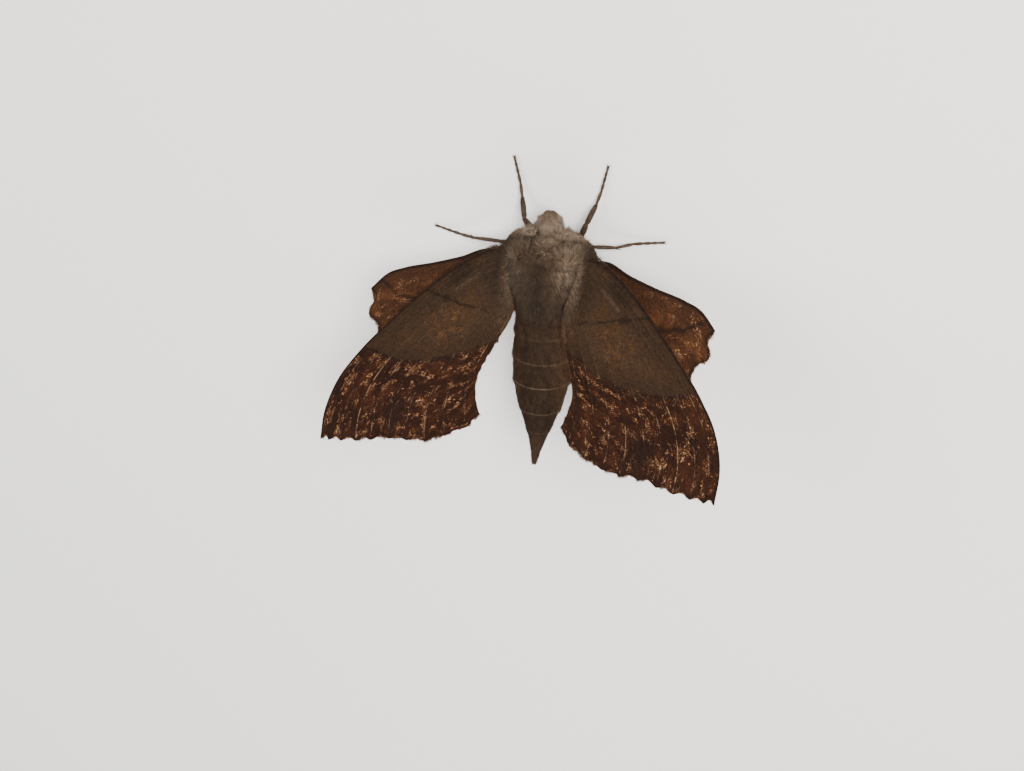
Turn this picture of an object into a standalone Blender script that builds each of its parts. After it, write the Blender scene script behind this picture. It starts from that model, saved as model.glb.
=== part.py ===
# Walnut sphinx moth at rest: a still, life-size model standing on its six feet
# The floor is Z = 0, the head points to +Y and the moth's left side is at -X
# Sizes are in millimetres here and become metres when a mesh is made

import math

import bmesh
import bpy
import numpy as np
from mathutils import Matrix, Vector

MM = 0.001
GAP = 0.3               # clearance between neighbouring pieces
COLLECTION = "walnut_sphinx_moth"

# The trunk, from the brow to the tail tip: place along Y, half width, half height, height of the axis
TRUNK = [
    (9.70, 2.60, 2.45, 4.80),
    (9.30, 3.45, 3.20, 5.02),
    (8.50, 4.50, 4.00, 5.38),
    (7.40, 5.00, 4.30, 5.75),
    (5.80, 5.10, 4.40, 6.05),
    (4.00, 4.85, 4.35, 6.30),
    (2.50, 4.25, 4.00, 6.55),
    (1.00, 3.75, 3.60, 6.90),
    (-1.00, 3.75, 3.45, 7.45),
    (-4.00, 3.80, 3.25, 8.15),
    (-7.00, 3.65, 3.00, 8.80),
    (-10.00, 3.05, 2.60, 9.50),
    (-12.50, 2.12, 1.90, 10.22),
    (-14.50, 1.32, 1.20, 11.05),
    (-16.20, 0.70, 0.65, 12.05),
    (-17.55, 0.22, 0.22, 12.95),
]
THORAX_FRONT = 9.70
WAIST = 1.30            # where the thorax ends and the abdomen starts
TAIL_TIP = -17.55
SEGMENT_ENDS = [-1.0, -4.1, -7.2, -10.8, -13.6, -15.8]   # rear edges of the abdomen's rings
SEGMENT_STEP = 0.14     # how far each ring stands over the next one
SEGMENT_SLOPE = 0.28    # length of the slope from one ring down to the next
TRUNK_SIDES = 20

# The head and what it carries
HEAD_CENTRE = (0.0, 10.65, 4.60)
HEAD_RADII = (1.60, 1.50, 1.60)
NECK_FACE = THORAX_FRONT + GAP
EYE_CENTRE = (1.12, 11.02, 4.60)
EYE_RADIUS = 0.75
PALP_CENTRE = (0.58, 11.98, 3.90)
PALP_RADII = (0.45, 0.92, 0.55)
PALP_TILT = math.radians(28)
ANTENNA_PATH = [(1.38, 10.85, 5.98), (1.85, 10.90, 6.30), (2.65, 10.70, 5.95), (3.55, 10.05, 5.10),
                (4.75, 8.95, 4.50), (5.50, 7.30, 4.40), (5.70, 5.40, 4.60), (5.85, 3.60, 5.00),
                (5.95, 2.60, 5.30)]
ANTENNA_RADII = [0.27, 0.28, 0.32, 0.36, 0.39, 0.39, 0.36, 0.29, 0.25]

# The wings rise towards the tail in one slope and a little outwards, gently arched
WING_SLOPE = math.radians(36.0)
WING_DIHEDRAL = math.radians(6.37)
WING_LEVEL = 13.1       # height of the forewing's slope above the origin
ROOT_DROP = 1.5         # how far the wing bends down to its root
ROOT_DROP_AT = 3.6
ROOT_DROP_REACH = 2.4
TIP_DROOP = 1.0         # how far the wing bends down to its tip
TIP_DROOP_FROM = 12.0
ARCH_DEPTH = 0.5        # sag of the wing's edges under its crown, across its length
ARCH_REACH = 7.0
ARCH_CROWN = -2.0
ARCH_FRONT = 4.0
WING_AXIS = (0.76, -0.65)    # the forewing's length in plan
WING_AXIS_AT = (5.0, 5.0)
HINDWING_BELOW = 1.35   # the hindwing lies this far under the forewing
WING_THICKNESS = 0.5
VEIN_HEIGHT = 0.20
VEIN_HALF_WIDTH = 0.013  # as a share of the wing's breadth
PLEAT = 0.05            # sag of the membrane between two veins
CELL_END = 0.46         # the cross-vein that closes the wing's cell, as a share of its length
NARROW_PLEAT = 0.075    # a pleat narrower than this share of the breadth has one column, others three
LINE_POINTS = 81        # points along each smooth edge of a wing

# Plan outlines of the right wings, from the root: front edge, outer edge, rear edge
# A vein has its share of the breadth at the outer edge, at the root, and where it starts
FOREWING = {
    "root": (8.2, 2.3),
    "front": [(6.9, 8.25), (8.8, 7.5), (11.4, 5.9), (14.7, 3.25), (17.85, 0.4), (20.8, -2.6),
              (22.9, -5.5), (23.95, -8.7)],
    "apex": (23.88, -11.5),
    "outer": [(21.1, -11.3), (18.3, -10.95), (15.6, -10.5), (12.9, -10.5), (10.3, -10.4), (7.9, -9.7),
              (6.3, -9.2)],
    "heel": (5.05, -7.9),
    "rear": [(5.65, -6.3), (5.93, -4.7), (5.3, -2.6), (4.3, -0.75), (3.4, 0.8)],
    "veins": [(0.06, 0.10, 0.0), (0.14, 0.17, 0.0), (0.24, 0.24, 0.0), (0.34, 0.34, CELL_END),
              (0.45, 0.45, CELL_END), (0.56, 0.56, CELL_END), (0.67, 0.64, 0.0), (0.79, 0.72, 0.0),
              (0.92, 0.88, 0.0)],
    "cell": (0.24, 0.67),
    "notch": 0.010,
    "rows": 12,
}
HINDWING = {
    "root": (7.0, 2.0),
    "front": [(6.1, 7.7), (7.3, 7.9), (10.4, 7.05), (13.7, 6.3), (17.05, 5.6), (19.1, 4.9)],
    "apex": (21.0, 3.25),
    "outer": [(20.5, 2.1), (20.85, 0.9), (19.5, -0.6), (18.6, -2.5), (15.8, -3.45), (12.5, -3.4),
              (9.4, -2.75)],
    "heel": (6.9, -2.1),
    "rear": [(5.5, -1.4), (4.4, 0.3)],
    "veins": [(0.15, 0.20, 0.0), (0.31, 0.36, CELL_END), (0.45, 0.50, CELL_END), (0.58, 0.62, CELL_END),
              (0.72, 0.72, 0.0), (0.87, 0.86, 0.0)],
    "cell": (0.15, 0.72),
    "notch": 0.013,
    "rows": 9,
}

# The legs: where the hip sits under the trunk, then knee, ankle, heel of the tarsus and tip
TOE_HEIGHT = 0.17
LEG_RADII = {"hip": 0.46, "thigh": 0.48, "knee": 0.40, "shin": 0.42, "ankle": 0.30, "tarsus": 0.27,
             "toe": 0.28}
COXA_LENGTH = 0.55
KNEE_ROUNDING = 0.40
TOE_FLAT = 1.9
HIPS = {"foreleg": (2.60, 8.70), "midleg": (3.20, 6.70), "hindleg": (3.00, 3.60)}
LEGS = {
    "foreleg_left": [(-3.75, 10.55, 2.40), (-4.40, 12.60, 0.95), (-4.75, 14.30, 0.42), (-5.50, 17.55)],
    "foreleg_right": [(3.85, 10.55, 2.35), (4.75, 12.60, 1.05), (5.20, 14.00, 0.45), (6.00, 17.30)],
    "midleg_left": [(-6.35, 7.75, 3.35), (-10.90, 6.85, 1.35), (-13.00, 6.75, 0.50), (-16.35, 7.45)],
    "midleg_right": [(4.70, 7.60, 1.90), (7.30, 7.45, 1.15), (9.40, 7.90, 0.48), (13.00, 8.35)],
    "hindleg_left": [(-5.60, 1.90, 3.60), (-7.30, -1.90, 1.20), (-7.90, -3.90, 0.42), (-9.10, -7.00)],
    "hindleg_right": [(5.60, 1.90, 3.60), (7.30, -1.90, 1.20), (7.90, -3.90, 0.42), (9.10, -7.00)],
}

# Colours, linear, with roughness
FINISHES = {
    "thorax": ((0.105, 0.080, 0.066), 0.90),
    "head": ((0.170, 0.125, 0.095), 0.90),
    "abdomen": ((0.110, 0.062, 0.040), 0.88),
    "forewing": ((0.085, 0.040, 0.024), 0.85),
    "hindwing": ((0.135, 0.050, 0.022), 0.85),
    "leg": ((0.060, 0.036, 0.024), 0.80),
    "antenna": ((0.150, 0.105, 0.075), 0.80),
    "palp": ((0.200, 0.150, 0.115), 0.90),
    "eye": ((0.012, 0.009, 0.008), 0.18),
}


def clear_scene():
    for item in list(bpy.data.objects):
        bpy.data.objects.remove(item, do_unlink=True)


def make_finish(kind):
    colour, roughness = FINISHES[kind]
    material = bpy.data.materials.new(kind + "_finish")
    material.use_nodes = True
    shader = material.node_tree.nodes["Principled BSDF"]
    shader.inputs["Base Color"].default_value = (*colour, 1.0)
    shader.inputs["Roughness"].default_value = roughness
    shader.inputs["Metallic"].default_value = 0.0
    material.diffuse_color = (*colour, 1.0)
    return material


def place_object(name, mesh_editor, root, kind, collection, frame):
    """Turn an edited mesh in millimetres into a named object whose origin is its root."""
    bmesh.ops.recalc_face_normals(mesh_editor, faces=mesh_editor.faces[:])
    bmesh.ops.translate(mesh_editor, verts=mesh_editor.verts[:], vec=-Vector(root))
    bmesh.ops.scale(mesh_editor, verts=mesh_editor.verts[:], vec=(MM, MM, MM))
    mesh = bpy.data.meshes.new(name)
    mesh_editor.to_mesh(mesh)
    mesh_editor.free()
    mesh.shade_smooth()
    mesh.set_sharp_from_angle(angle=math.radians(50))
    mesh.materials.append(make_finish(kind))
    item = bpy.data.objects.new(name, mesh)
    item.location = Vector(root) * MM
    item.parent = frame
    collection.objects.link(item)
    return item


def smooth_at(table, place):
    """Read a hand-set table with a smooth curve through its rows."""
    rows = sorted(table)
    keys = np.array([row[0] for row in rows])
    values = np.array([row[1:] for row in rows])
    place = min(max(place, keys[0]), keys[-1])
    tangents = np.gradient(values, keys, axis=0)
    index = int(min(max(np.searchsorted(keys, place) - 1, 0), len(keys) - 2))
    span = keys[index + 1] - keys[index]
    t = (place - keys[index]) / span
    blend = (2 * t**3 - 3 * t**2 + 1, t**3 - 2 * t**2 + t, -2 * t**3 + 3 * t**2, t**3 - t**2)
    return (blend[0] * values[index] + blend[1] * span * tangents[index]
            + blend[2] * values[index + 1] + blend[3] * span * tangents[index + 1])


def smooth_line(points, count):
    """Points evenly spaced along a smooth curve through a few given ones."""
    points = np.array(points, dtype=float)
    steps = np.linalg.norm(np.diff(points, axis=0), axis=1)
    run = np.concatenate([[0.0], np.cumsum(steps)])
    table = [(run[i], *points[i]) for i in range(len(points))]
    return [smooth_at(table, run[-1] * k / (count - 1)) for k in range(count)]


def trunk_ring(editor, place, growth=0.0):
    half_width, half_height, height = smooth_at(TRUNK, place)
    ring = []
    for k in range(TRUNK_SIDES):
        turn = 2 * math.pi * (k + 0.5) / TRUNK_SIDES
        x = (half_width + growth) * math.cos(turn)
        z = height + (half_height + growth) * math.sin(turn)
        ring.append(editor.verts.new((x, place, z)))
    return ring


def loft_rings(editor, rings):
    """Join rings of like count into one closed skin with a flat cap at each end."""
    for first, second in zip(rings, rings[1:]):
        count = len(first)
        for k in range(count):
            nxt = (k + 1) % count
            editor.faces.new((first[k], first[nxt], second[nxt], second[k]))
    editor.faces.new(rings[0])
    editor.faces.new(rings[-1])


def build_thorax():
    editor = bmesh.new()
    places = [THORAX_FRONT, 9.5, 9.1, 8.5, 7.7, 6.6, 5.3, 4.0, 2.8, WAIST + GAP]
    loft_rings(editor, [trunk_ring(editor, place) for place in places])
    return editor


def build_abdomen():
    editor = bmesh.new()
    rings = []
    start = WAIST
    for end in SEGMENT_ENDS + [TAIL_TIP]:
        length = start - end
        middle = start - 0.5 * length
        rings.append(trunk_ring(editor, start, -0.5 * SEGMENT_STEP if rings else 0.0))
        rings.append(trunk_ring(editor, middle))
        last = end == TAIL_TIP
        rings.append(trunk_ring(editor, end, 0.0 if last else 0.5 * SEGMENT_STEP))
        start = end - SEGMENT_SLOPE
    loft_rings(editor, rings)
    return editor


def ellipsoid(centre, radii, across=16, down=10, turn=0.0):
    editor = bmesh.new()
    bmesh.ops.create_uvsphere(editor, u_segments=across, v_segments=down, radius=1.0)
    shape = (Matrix.Translation(Vector(centre)) @ Matrix.Rotation(turn, 4, "X")
             @ Matrix.Diagonal((*radii, 1.0)))
    bmesh.ops.transform(editor, matrix=shape, verts=editor.verts[:])
    return editor


def cut_by_plane(editor, point, normal):
    """Cut away what lies beyond a plane and close the flat."""
    geometry = editor.verts[:] + editor.edges[:] + editor.faces[:]
    cut = bmesh.ops.bisect_plane(editor, geom=geometry, plane_co=point, plane_no=normal,
                                 clear_outer=True, dist=1e-6)
    edges = [item for item in cut["geom_cut"] if isinstance(item, bmesh.types.BMEdge)]
    bmesh.ops.holes_fill(editor, edges=edges, sides=0)


def subtract(editor, cutters):
    """Boolean difference of an edited mesh and a few closed cutters."""
    body_mesh = bpy.data.meshes.new("body")
    bmesh.ops.recalc_face_normals(editor, faces=editor.faces[:])
    editor.to_mesh(body_mesh)
    editor.free()
    body = bpy.data.objects.new("body", body_mesh)
    bpy.context.scene.collection.objects.link(body)
    tools = []
    for cutter in cutters:
        mesh = bpy.data.meshes.new("cutter")
        cutter.to_mesh(mesh)
        cutter.free()
        tool = bpy.data.objects.new("cutter", mesh)
        bpy.context.scene.collection.objects.link(tool)
        step = body.modifiers.new("cut", "BOOLEAN")
        step.operation = "DIFFERENCE"
        step.object = tool
        tools.append(tool)
    bpy.context.view_layer.update()
    result = bmesh.new()
    evaluated = body.evaluated_get(bpy.context.evaluated_depsgraph_get())
    result.from_mesh(evaluated.to_mesh())
    evaluated.to_mesh_clear()
    for item in tools + [body]:
        bpy.data.objects.remove(item, do_unlink=True)
    bmesh.ops.remove_doubles(result, verts=result.verts[:], dist=0.002)
    return result


def mirror_x(point, side):
    return (point[0] * side, *point[1:])


def build_head():
    editor = ellipsoid(HEAD_CENTRE, HEAD_RADII, 20, 12)
    cut_by_plane(editor, (0, NECK_FACE, 0), (0, -1, 0))
    socket = EYE_RADIUS + GAP
    sockets = [ellipsoid(mirror_x(EYE_CENTRE, side), (socket,) * 3, 14, 8) for side in (-1, 1)]
    return subtract(editor, sockets)


def build_palp(side):
    palp = ellipsoid(mirror_x(PALP_CENTRE, side), PALP_RADII, 12, 8, PALP_TILT)
    brow = ellipsoid(HEAD_CENTRE, [radius + GAP for radius in HEAD_RADII], 20, 12)
    return subtract(palp, [brow])


def wing_height(x, y, below=0.0):
    """Height of the wing's upper face over a point of the plan."""
    rise = WING_LEVEL - y * math.tan(WING_SLOPE) + x * math.tan(WING_DIHEDRAL)
    drop = ROOT_DROP * math.exp(-(x - ROOT_DROP_AT) / ROOT_DROP_REACH)
    droop = TIP_DROOP * max(0.0, (x - TIP_DROOP_FROM) / TIP_DROOP_FROM) ** 2
    across = (y - WING_AXIS_AT[1]) * WING_AXIS[0] - (x - WING_AXIS_AT[0]) * WING_AXIS[1]
    arch = ARCH_DEPTH * ((min(across, ARCH_FRONT) - ARCH_CROWN) / ARCH_REACH) ** 2
    return rise - drop - droop - arch - below


def root_reach(y, below):
    """How far out the wing may start beside the trunk at one place along it."""
    half_width, half_height, height = smooth_at(TRUNK, y)
    depth = WING_THICKNESS / math.cos(WING_SLOPE)
    spare = GAP + 0.06
    x = half_width
    for _ in range(40):
        low = wing_height(x, y, below) - depth
        share = min(abs(low - height) / (half_height + spare), 0.99)
        x = 0.5 * x + 0.5 * (half_width + spare) * math.sqrt(1 - share * share)
    return x


def wing_columns(veins):
    """Shares of the breadth, three columns to a vein and one or three between two of them."""
    edges = [0.0] + [vein[0] for vein in veins] + [1.0]
    columns = [(0.0, None)]
    for index, (before, after) in enumerate(zip(edges, edges[1:])):
        low = before + (VEIN_HALF_WIDTH if index else 0.0)
        last = after == 1.0
        high = after - (0.0 if last else VEIN_HALF_WIDTH)
        parts = 2 if high - low < NARROW_PLEAT else 4
        columns += [(low + (high - low) * k / parts, None) for k in range(1, parts)]
        if last:
            columns.append((1.0, None))
        else:
            columns += [(high, None), (after, veins[index]), (after + VEIN_HALF_WIDTH, None)]
    return columns


def pleat_depth(share, veins):
    edges = [0.0] + [vein[0] for vein in veins] + [1.0]
    for before, after in zip(edges, edges[1:]):
        if before <= share <= after:
            return math.sin(math.pi * (share - before) / (after - before)) ** 2
    return 0.0


def ease(value, start, end):
    t = min(max((value - start) / (end - start), 0.0), 1.0)
    return t * t * (3 - 2 * t)


def build_wing(plan, below):
    """A sheet between four edges, with its veins raised in the upper face."""
    front_y, rear_y = plan["root"]
    front_root = (root_reach(front_y, below), front_y)
    rear_root = (root_reach(rear_y, below), rear_y)
    front = smooth_line([front_root] + plan["front"] + [plan["apex"]], LINE_POINTS)
    outer = smooth_line([plan["apex"]] + plan["outer"] + [plan["heel"]], LINE_POINTS)
    rear = smooth_line([rear_root] + plan["rear"][::-1] + [plan["heel"]], LINE_POINTS)
    columns = wing_columns(plan["veins"])
    rows = plan["rows"]
    edge_shares = [0.0] + [vein[0] for vein in plan["veins"]] + [1.0]
    root_shares = [0.0] + [vein[1] for vein in plan["veins"]] + [1.0]

    def read(line, share):
        place = share * (LINE_POINTS - 1)
        low = min(int(place), LINE_POINTS - 2)
        return line[low] + (line[low + 1] - line[low]) * (place - low)

    def root_point(share):
        y = front_y + (rear_y - front_y) * share
        return np.array([root_reach(y, below), y])

    def patch(u, v):
        sides = (1 - v) * read(front, u) + v * read(rear, u)
        ends = (1 - u) * root_point(v) + u * read(outer, v)
        corners = ((1 - u) * (1 - v) * np.array(front_root) + (1 - u) * v * np.array(rear_root)
                   + u * (1 - v) * np.array(plan["apex"]) + u * v * np.array(plan["heel"]))
        return sides + ends - corners

    editor = bmesh.new()
    bmesh.ops.create_grid(editor, x_segments=rows - 1, y_segments=len(columns) - 1, size=0.5)
    depth = WING_THICKNESS / math.cos(WING_SLOPE)
    cell_row = round(CELL_END * (rows - 1))
    ridge = {}
    for vertex in editor.verts:
        row = round((vertex.co.x + 0.5) * (rows - 1))
        share, vein = columns[round((vertex.co.y + 0.5) * (len(columns) - 1))]
        sag = pleat_depth(share, plan["veins"])
        along = row / (rows - 1)
        u = along * (1 - plan["notch"] * sag * along)
        spread = ease(u, 0.0, 0.6)
        v = spread * share + (1 - spread) * float(np.interp(share, edge_shares, root_shares))
        x, y = patch(u, v)
        base = wing_height(x, y, below) - PLEAT * sag * ease(u, 0.1, 0.5)
        vertex.co = (x, y, base)
        height = 0.0
        if vein:
            height = VEIN_HEIGHT * (1 - 0.45 * u) * (1.0 if along > vein[2] - 0.01 else 0.0)
        if row == cell_row and plan["cell"][0] <= share <= plan["cell"][1]:
            height = max(height, VEIN_HEIGHT * 0.6)
        ridge[vertex.index] = height
    bmesh.ops.triangulate(editor, faces=editor.faces[:], quad_method="FIXED")
    upper = editor.verts[:]
    sheet = bmesh.ops.extrude_face_region(editor, geom=editor.faces[:], use_keep_orig=True)
    for item in sheet["geom"]:
        if isinstance(item, bmesh.types.BMVert):
            item.co.z -= depth
    for vertex in upper:
        vertex.co.z += ridge[vertex.index]
    return editor


def tube(path, radii):
    """A round tapering tube along points, with closed ends, as an edited mesh."""
    curve = bpy.data.curves.new("tube", "CURVE")
    curve.dimensions = "3D"
    curve.bevel_depth = 1.0
    curve.bevel_resolution = 2
    curve.use_fill_caps = True
    spline = curve.splines.new("POLY")
    spline.points.add(len(path) - 1)
    for point, place, radius in zip(spline.points, path, radii):
        point.co = (*place, 1.0)
        point.radius = radius
    item = bpy.data.objects.new("tube", curve)
    bpy.context.scene.collection.objects.link(item)
    bpy.context.view_layer.update()
    evaluated = item.evaluated_get(bpy.context.evaluated_depsgraph_get())
    mesh = bpy.data.meshes.new_from_object(evaluated)
    editor = bmesh.new()
    editor.from_mesh(mesh)
    bmesh.ops.remove_doubles(editor, verts=editor.verts[:], dist=0.001)
    bpy.data.objects.remove(item, do_unlink=True)
    bpy.data.meshes.remove(mesh)
    return editor


def hip_points(x, y, side):
    """Where a leg leaves the trunk's underside, square to it, and the end of its first joint."""
    half_width, half_height, height = smooth_at(TRUNK, y)
    fall = half_height * math.sqrt(1 - (x / half_width) ** 2)
    out = Vector((x / half_width**2, 0.0, -fall / half_height**2)).normalized()
    hip = Vector((x, y, height - fall)) + out * (GAP + 0.05)
    end = hip + out * COXA_LENGTH
    return [np.array(mirror_x(tuple(point), side)) for point in (hip, end)]


def build_leg(name):
    """Hip, thigh, shin and jointed tarsus, flat where the foot stands on the floor."""
    pair, word = name.split("_")
    hip, thigh = hip_points(*HIPS[pair], -1 if word == "left" else 1)
    knee, ankle, heel = [np.array(point) for point in LEGS[name][:3]]
    toe = np.array((*LEGS[name][3], TOE_HEIGHT))
    size = LEG_RADII

    def toward(start, end, distance):
        step = end - start
        return start + step * distance / np.linalg.norm(step)

    path = [hip, thigh, 0.5 * (thigh + knee)]
    radii = [size["hip"], size["hip"], size["thigh"]]
    path += [toward(knee, thigh, KNEE_ROUNDING), toward(knee, ankle, KNEE_ROUNDING)]
    radii += [size["knee"], size["knee"]]
    path += [0.5 * (knee + ankle), toward(ankle, knee, KNEE_ROUNDING), toward(ankle, heel, KNEE_ROUNDING)]
    radii += [size["shin"], size["shin"], size["ankle"]]
    flat = toward(toe, np.array((heel[0], heel[1], TOE_HEIGHT)), TOE_FLAT)
    path += [heel, flat, toe]
    radii += [size["tarsus"], size["toe"], size["toe"]]
    editor = tube(path, radii)
    for vertex in editor.verts:
        vertex.co.z = max(vertex.co.z, 0.0)
    return editor


def build_antenna():
    points = [(ANTENNA_RADII[i], *ANTENNA_PATH[i]) for i in range(len(ANTENNA_PATH))]
    line = smooth_line(points, 13)
    return tube([row[1:] for row in line], [row[0] for row in line])


def mirrored(editor):
    bmesh.ops.scale(editor, verts=editor.verts[:], vec=(-1, 1, 1))
    return editor


def build_moth():
    clear_scene()
    collection = bpy.data.collections.new(COLLECTION)
    bpy.context.scene.collection.children.link(collection)
    frame = bpy.data.objects.new("moth_frame", None)
    collection.objects.link(frame)

    def put(name, editor, root, kind):
        place_object(name, editor, root, kind, collection, frame)

    put("thorax", build_thorax(), (0, 6.0, 6.0), "thorax")
    put("abdomen", build_abdomen(), (0, WAIST, 6.7), "abdomen")
    put("head", build_head(), HEAD_CENTRE, "head")
    for side, word in ((-1, "left"), (1, "right")):
        def sided(editor):
            return mirrored(editor) if side < 0 else editor

        eye = ellipsoid(mirror_x(EYE_CENTRE, side), (EYE_RADIUS,) * 3, 14, 8)
        put("eye_" + word, eye, mirror_x(EYE_CENTRE, side), "eye")
        put("palp_" + word, build_palp(side), mirror_x(PALP_CENTRE, side), "palp")
        put("antenna_" + word, sided(build_antenna()), mirror_x(ANTENNA_PATH[0], side), "antenna")
        for name, plan, below in (("forewing_", FOREWING, 0.0), ("hindwing_", HINDWING, HINDWING_BELOW)):
            front_y = plan["root"][0]
            reach = root_reach(front_y, below)
            root = (side * reach, front_y, wing_height(reach, front_y, below))
            put(name + word, sided(build_wing(plan, below)), root, name[:-1])
    for name in LEGS:
        pair, word = name.split("_")
        hip = hip_points(*HIPS[pair], -1 if word == "left" else 1)[0]
        put(name, build_leg(name), hip, "leg")


build_moth()
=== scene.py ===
# Walnut sphinx moth at rest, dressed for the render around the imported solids
# Sizes are in millimetres and become metres when a mesh is made; the head points to +Y

import math

import bpy
import numpy as np
from mathutils import Matrix, Vector


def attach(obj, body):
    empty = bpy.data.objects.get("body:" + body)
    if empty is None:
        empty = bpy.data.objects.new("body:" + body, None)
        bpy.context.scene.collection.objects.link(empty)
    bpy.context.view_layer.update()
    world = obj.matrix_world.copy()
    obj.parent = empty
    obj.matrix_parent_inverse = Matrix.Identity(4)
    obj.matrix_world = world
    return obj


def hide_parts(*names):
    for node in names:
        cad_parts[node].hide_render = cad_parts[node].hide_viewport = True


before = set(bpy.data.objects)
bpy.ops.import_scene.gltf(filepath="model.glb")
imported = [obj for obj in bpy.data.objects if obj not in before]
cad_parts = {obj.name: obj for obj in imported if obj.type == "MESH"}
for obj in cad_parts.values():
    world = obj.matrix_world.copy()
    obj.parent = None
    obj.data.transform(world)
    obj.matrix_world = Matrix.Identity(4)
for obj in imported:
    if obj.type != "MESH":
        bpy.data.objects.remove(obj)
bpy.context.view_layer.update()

# The stand-in for the studio: a pale floor that the six feet stand on, soft lights, and the
# camera, which looks down at the moth's back from beyond its head, as the photograph does
MM = 0.001
CAMERA_PLACE = (34.702, 65.236, 118.976)
CAMERA_RIGHT = (0.95001, -0.03396, -0.31036)
CAMERA_UP = (-0.14002, 0.84214, -0.52076)
CAMERA_BACK = (0.27905, 0.53819, 0.79529)
CAMERA_LENS = 38.78
CAMERA_FILM = 36.0
CAMERA_NEAR = 0.005
CAMERA_FAR = 20.0

camera_data = bpy.data.cameras.new("photograph_view")
camera_data.sensor_width = CAMERA_FILM
camera_data.lens = CAMERA_LENS
camera_data.clip_start = CAMERA_NEAR
camera_data.clip_end = CAMERA_FAR
camera = bpy.data.objects.new("photograph_view", camera_data)
turn = Matrix((CAMERA_RIGHT, CAMERA_UP, CAMERA_BACK)).transposed().to_4x4()
camera.matrix_world = Matrix.Translation([v * MM for v in CAMERA_PLACE]) @ turn
bpy.context.scene.collection.objects.link(camera)
bpy.context.scene.camera = camera


def node_in(tree, kind, values=None, **settings):
    """Add a shader node, set its properties, and fill or wire its inputs."""
    node = tree.nodes.new(kind)
    for key, value in settings.items():
        setattr(node, key, value)
    for key, value in (values or {}).items():
        socket = node.inputs[key]
        if isinstance(value, bpy.types.NodeSocket):
            tree.links.new(value, socket)
        else:
            socket.default_value = value
    return node


SHEEN_ROUGHNESS = 0.6


def new_finish(name, roughness, sheen=0.0, specular=0.15):
    """A Principled material and its tree; the numbers that hold everywhere sit on its sockets."""
    finish = bpy.data.materials.new(name)
    finish.use_nodes = True
    shader = finish.node_tree.nodes["Principled BSDF"]
    shader.inputs["Roughness"].default_value = roughness
    shader.inputs["Specular IOR Level"].default_value = specular
    shader.inputs["Sheen Weight"].default_value = sheen
    shader.inputs["Sheen Roughness"].default_value = SHEEN_ROUGHNESS
    return finish, finish.node_tree, shader


FLOOR_REACH = 1.5
FLOOR_CORNERS = ((-1, -1), (1, -1), (1, 1), (-1, 1))
FLOOR_COLOUR = (0.80, 0.78, 0.75, 1.0)
floor_mesh = bpy.data.meshes.new("floor")
floor_points = [(x * FLOOR_REACH, y * FLOOR_REACH, 0.0) for x, y in FLOOR_CORNERS]
floor_mesh.from_pydata(floor_points, [], [(0, 1, 2, 3)])
floor = bpy.data.objects.new("floor", floor_mesh)
bpy.context.scene.collection.objects.link(floor)
floor_finish, tree, shader = new_finish("pale_floor", 0.85)
shader.inputs["Base Color"].default_value = FLOOR_COLOUR
floor_mesh.materials.append(floor_finish)

# Each light: its place and its breadth in metres, its power in watts and its tint
LIGHTS = {
    "key_light": ((0.18, 0.18, 0.33), 0.22, 3.6, (1.0, 0.97, 0.92)),
    "fill_light": ((-0.34, 0.10, 0.30), 0.40, 2.0, (0.93, 0.96, 1.0)),
    "back_light": ((0.05, -0.36, 0.26), 0.30, 1.6, (1.0, 0.98, 0.95)),
}
for name, (place, size, power, tint) in LIGHTS.items():
    light_data = bpy.data.lights.new(name, "AREA")
    light_data.shape = "DISK"
    light_data.size = size
    light_data.energy = power
    light_data.color = tint
    light = bpy.data.objects.new(name, light_data)
    aim = (-Vector(place)).to_track_quat("-Z", "Y")
    light.matrix_world = Matrix.LocRotScale(Vector(place), aim, None)
    bpy.context.scene.collection.objects.link(light)

ROOM_COLOUR = (0.92, 0.94, 1.0, 1.0)
ROOM_STRENGTH = 0.55
world = bpy.data.worlds.new("soft_room")
world.use_nodes = True
world.node_tree.nodes["Background"].inputs["Color"].default_value = ROOM_COLOUR
world.node_tree.nodes["Background"].inputs["Strength"].default_value = ROOM_STRENGTH
bpy.context.scene.world = world


# The body skin: one closed hide over head, thorax and abdomen, which the coat of scales and
# hair hides; it lies inside the solids by the coat's depth, with the rings of the abdomen in it
# Each row of a table: place along the body, half-breadth, half-height and height of the middle
TRUNK = [
    (8.50, 4.50, 4.00, 5.38),
    (7.40, 5.00, 4.30, 5.75),
    (5.80, 5.10, 4.40, 6.05),
    (4.00, 4.85, 4.35, 6.30),
    (2.50, 4.25, 4.00, 6.55),
    (1.00, 3.75, 3.60, 6.90),
    (-1.00, 3.75, 3.45, 7.45),
    (-4.00, 3.80, 3.25, 8.15),
    (-7.00, 3.65, 3.00, 8.80),
    (-10.00, 3.05, 2.60, 9.50),
    (-12.50, 2.12, 1.90, 10.22),
    (-14.50, 1.32, 1.20, 11.05),
    (-16.20, 0.70, 0.65, 12.05),
    (-17.55, 0.22, 0.22, 12.95),
]
HEAD_AND_NECK = [
    (12.12, 0.30, 0.30, 4.35),
    (11.90, 0.90, 0.95, 4.42),
    (11.40, 1.38, 1.42, 4.52),
    (10.80, 1.58, 1.58, 4.60),
    (10.25, 1.66, 1.62, 4.68),
    (9.85, 2.05, 1.90, 4.78),
    (9.30, 3.40, 3.10, 5.02),
]
BODY = TRUNK + HEAD_AND_NECK
COAT_DEPTH = [(12.12, 0.20), (11.0, 0.32), (10.2, 0.36), (9.2, 0.55), (6.0, 0.55), (3.0, 0.50), (0.5, 0.30),
              (-3.0, 0.20), (-13.0, 0.15), (-17.55, 0.06)]
SEGMENT_START = 1.0
SEGMENT_ENDS = [-1.0, -4.1, -7.2, -10.8, -13.6, -15.8]
SEGMENT_STEP = 0.14
SEGMENT_SLOPE = 0.45
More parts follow.
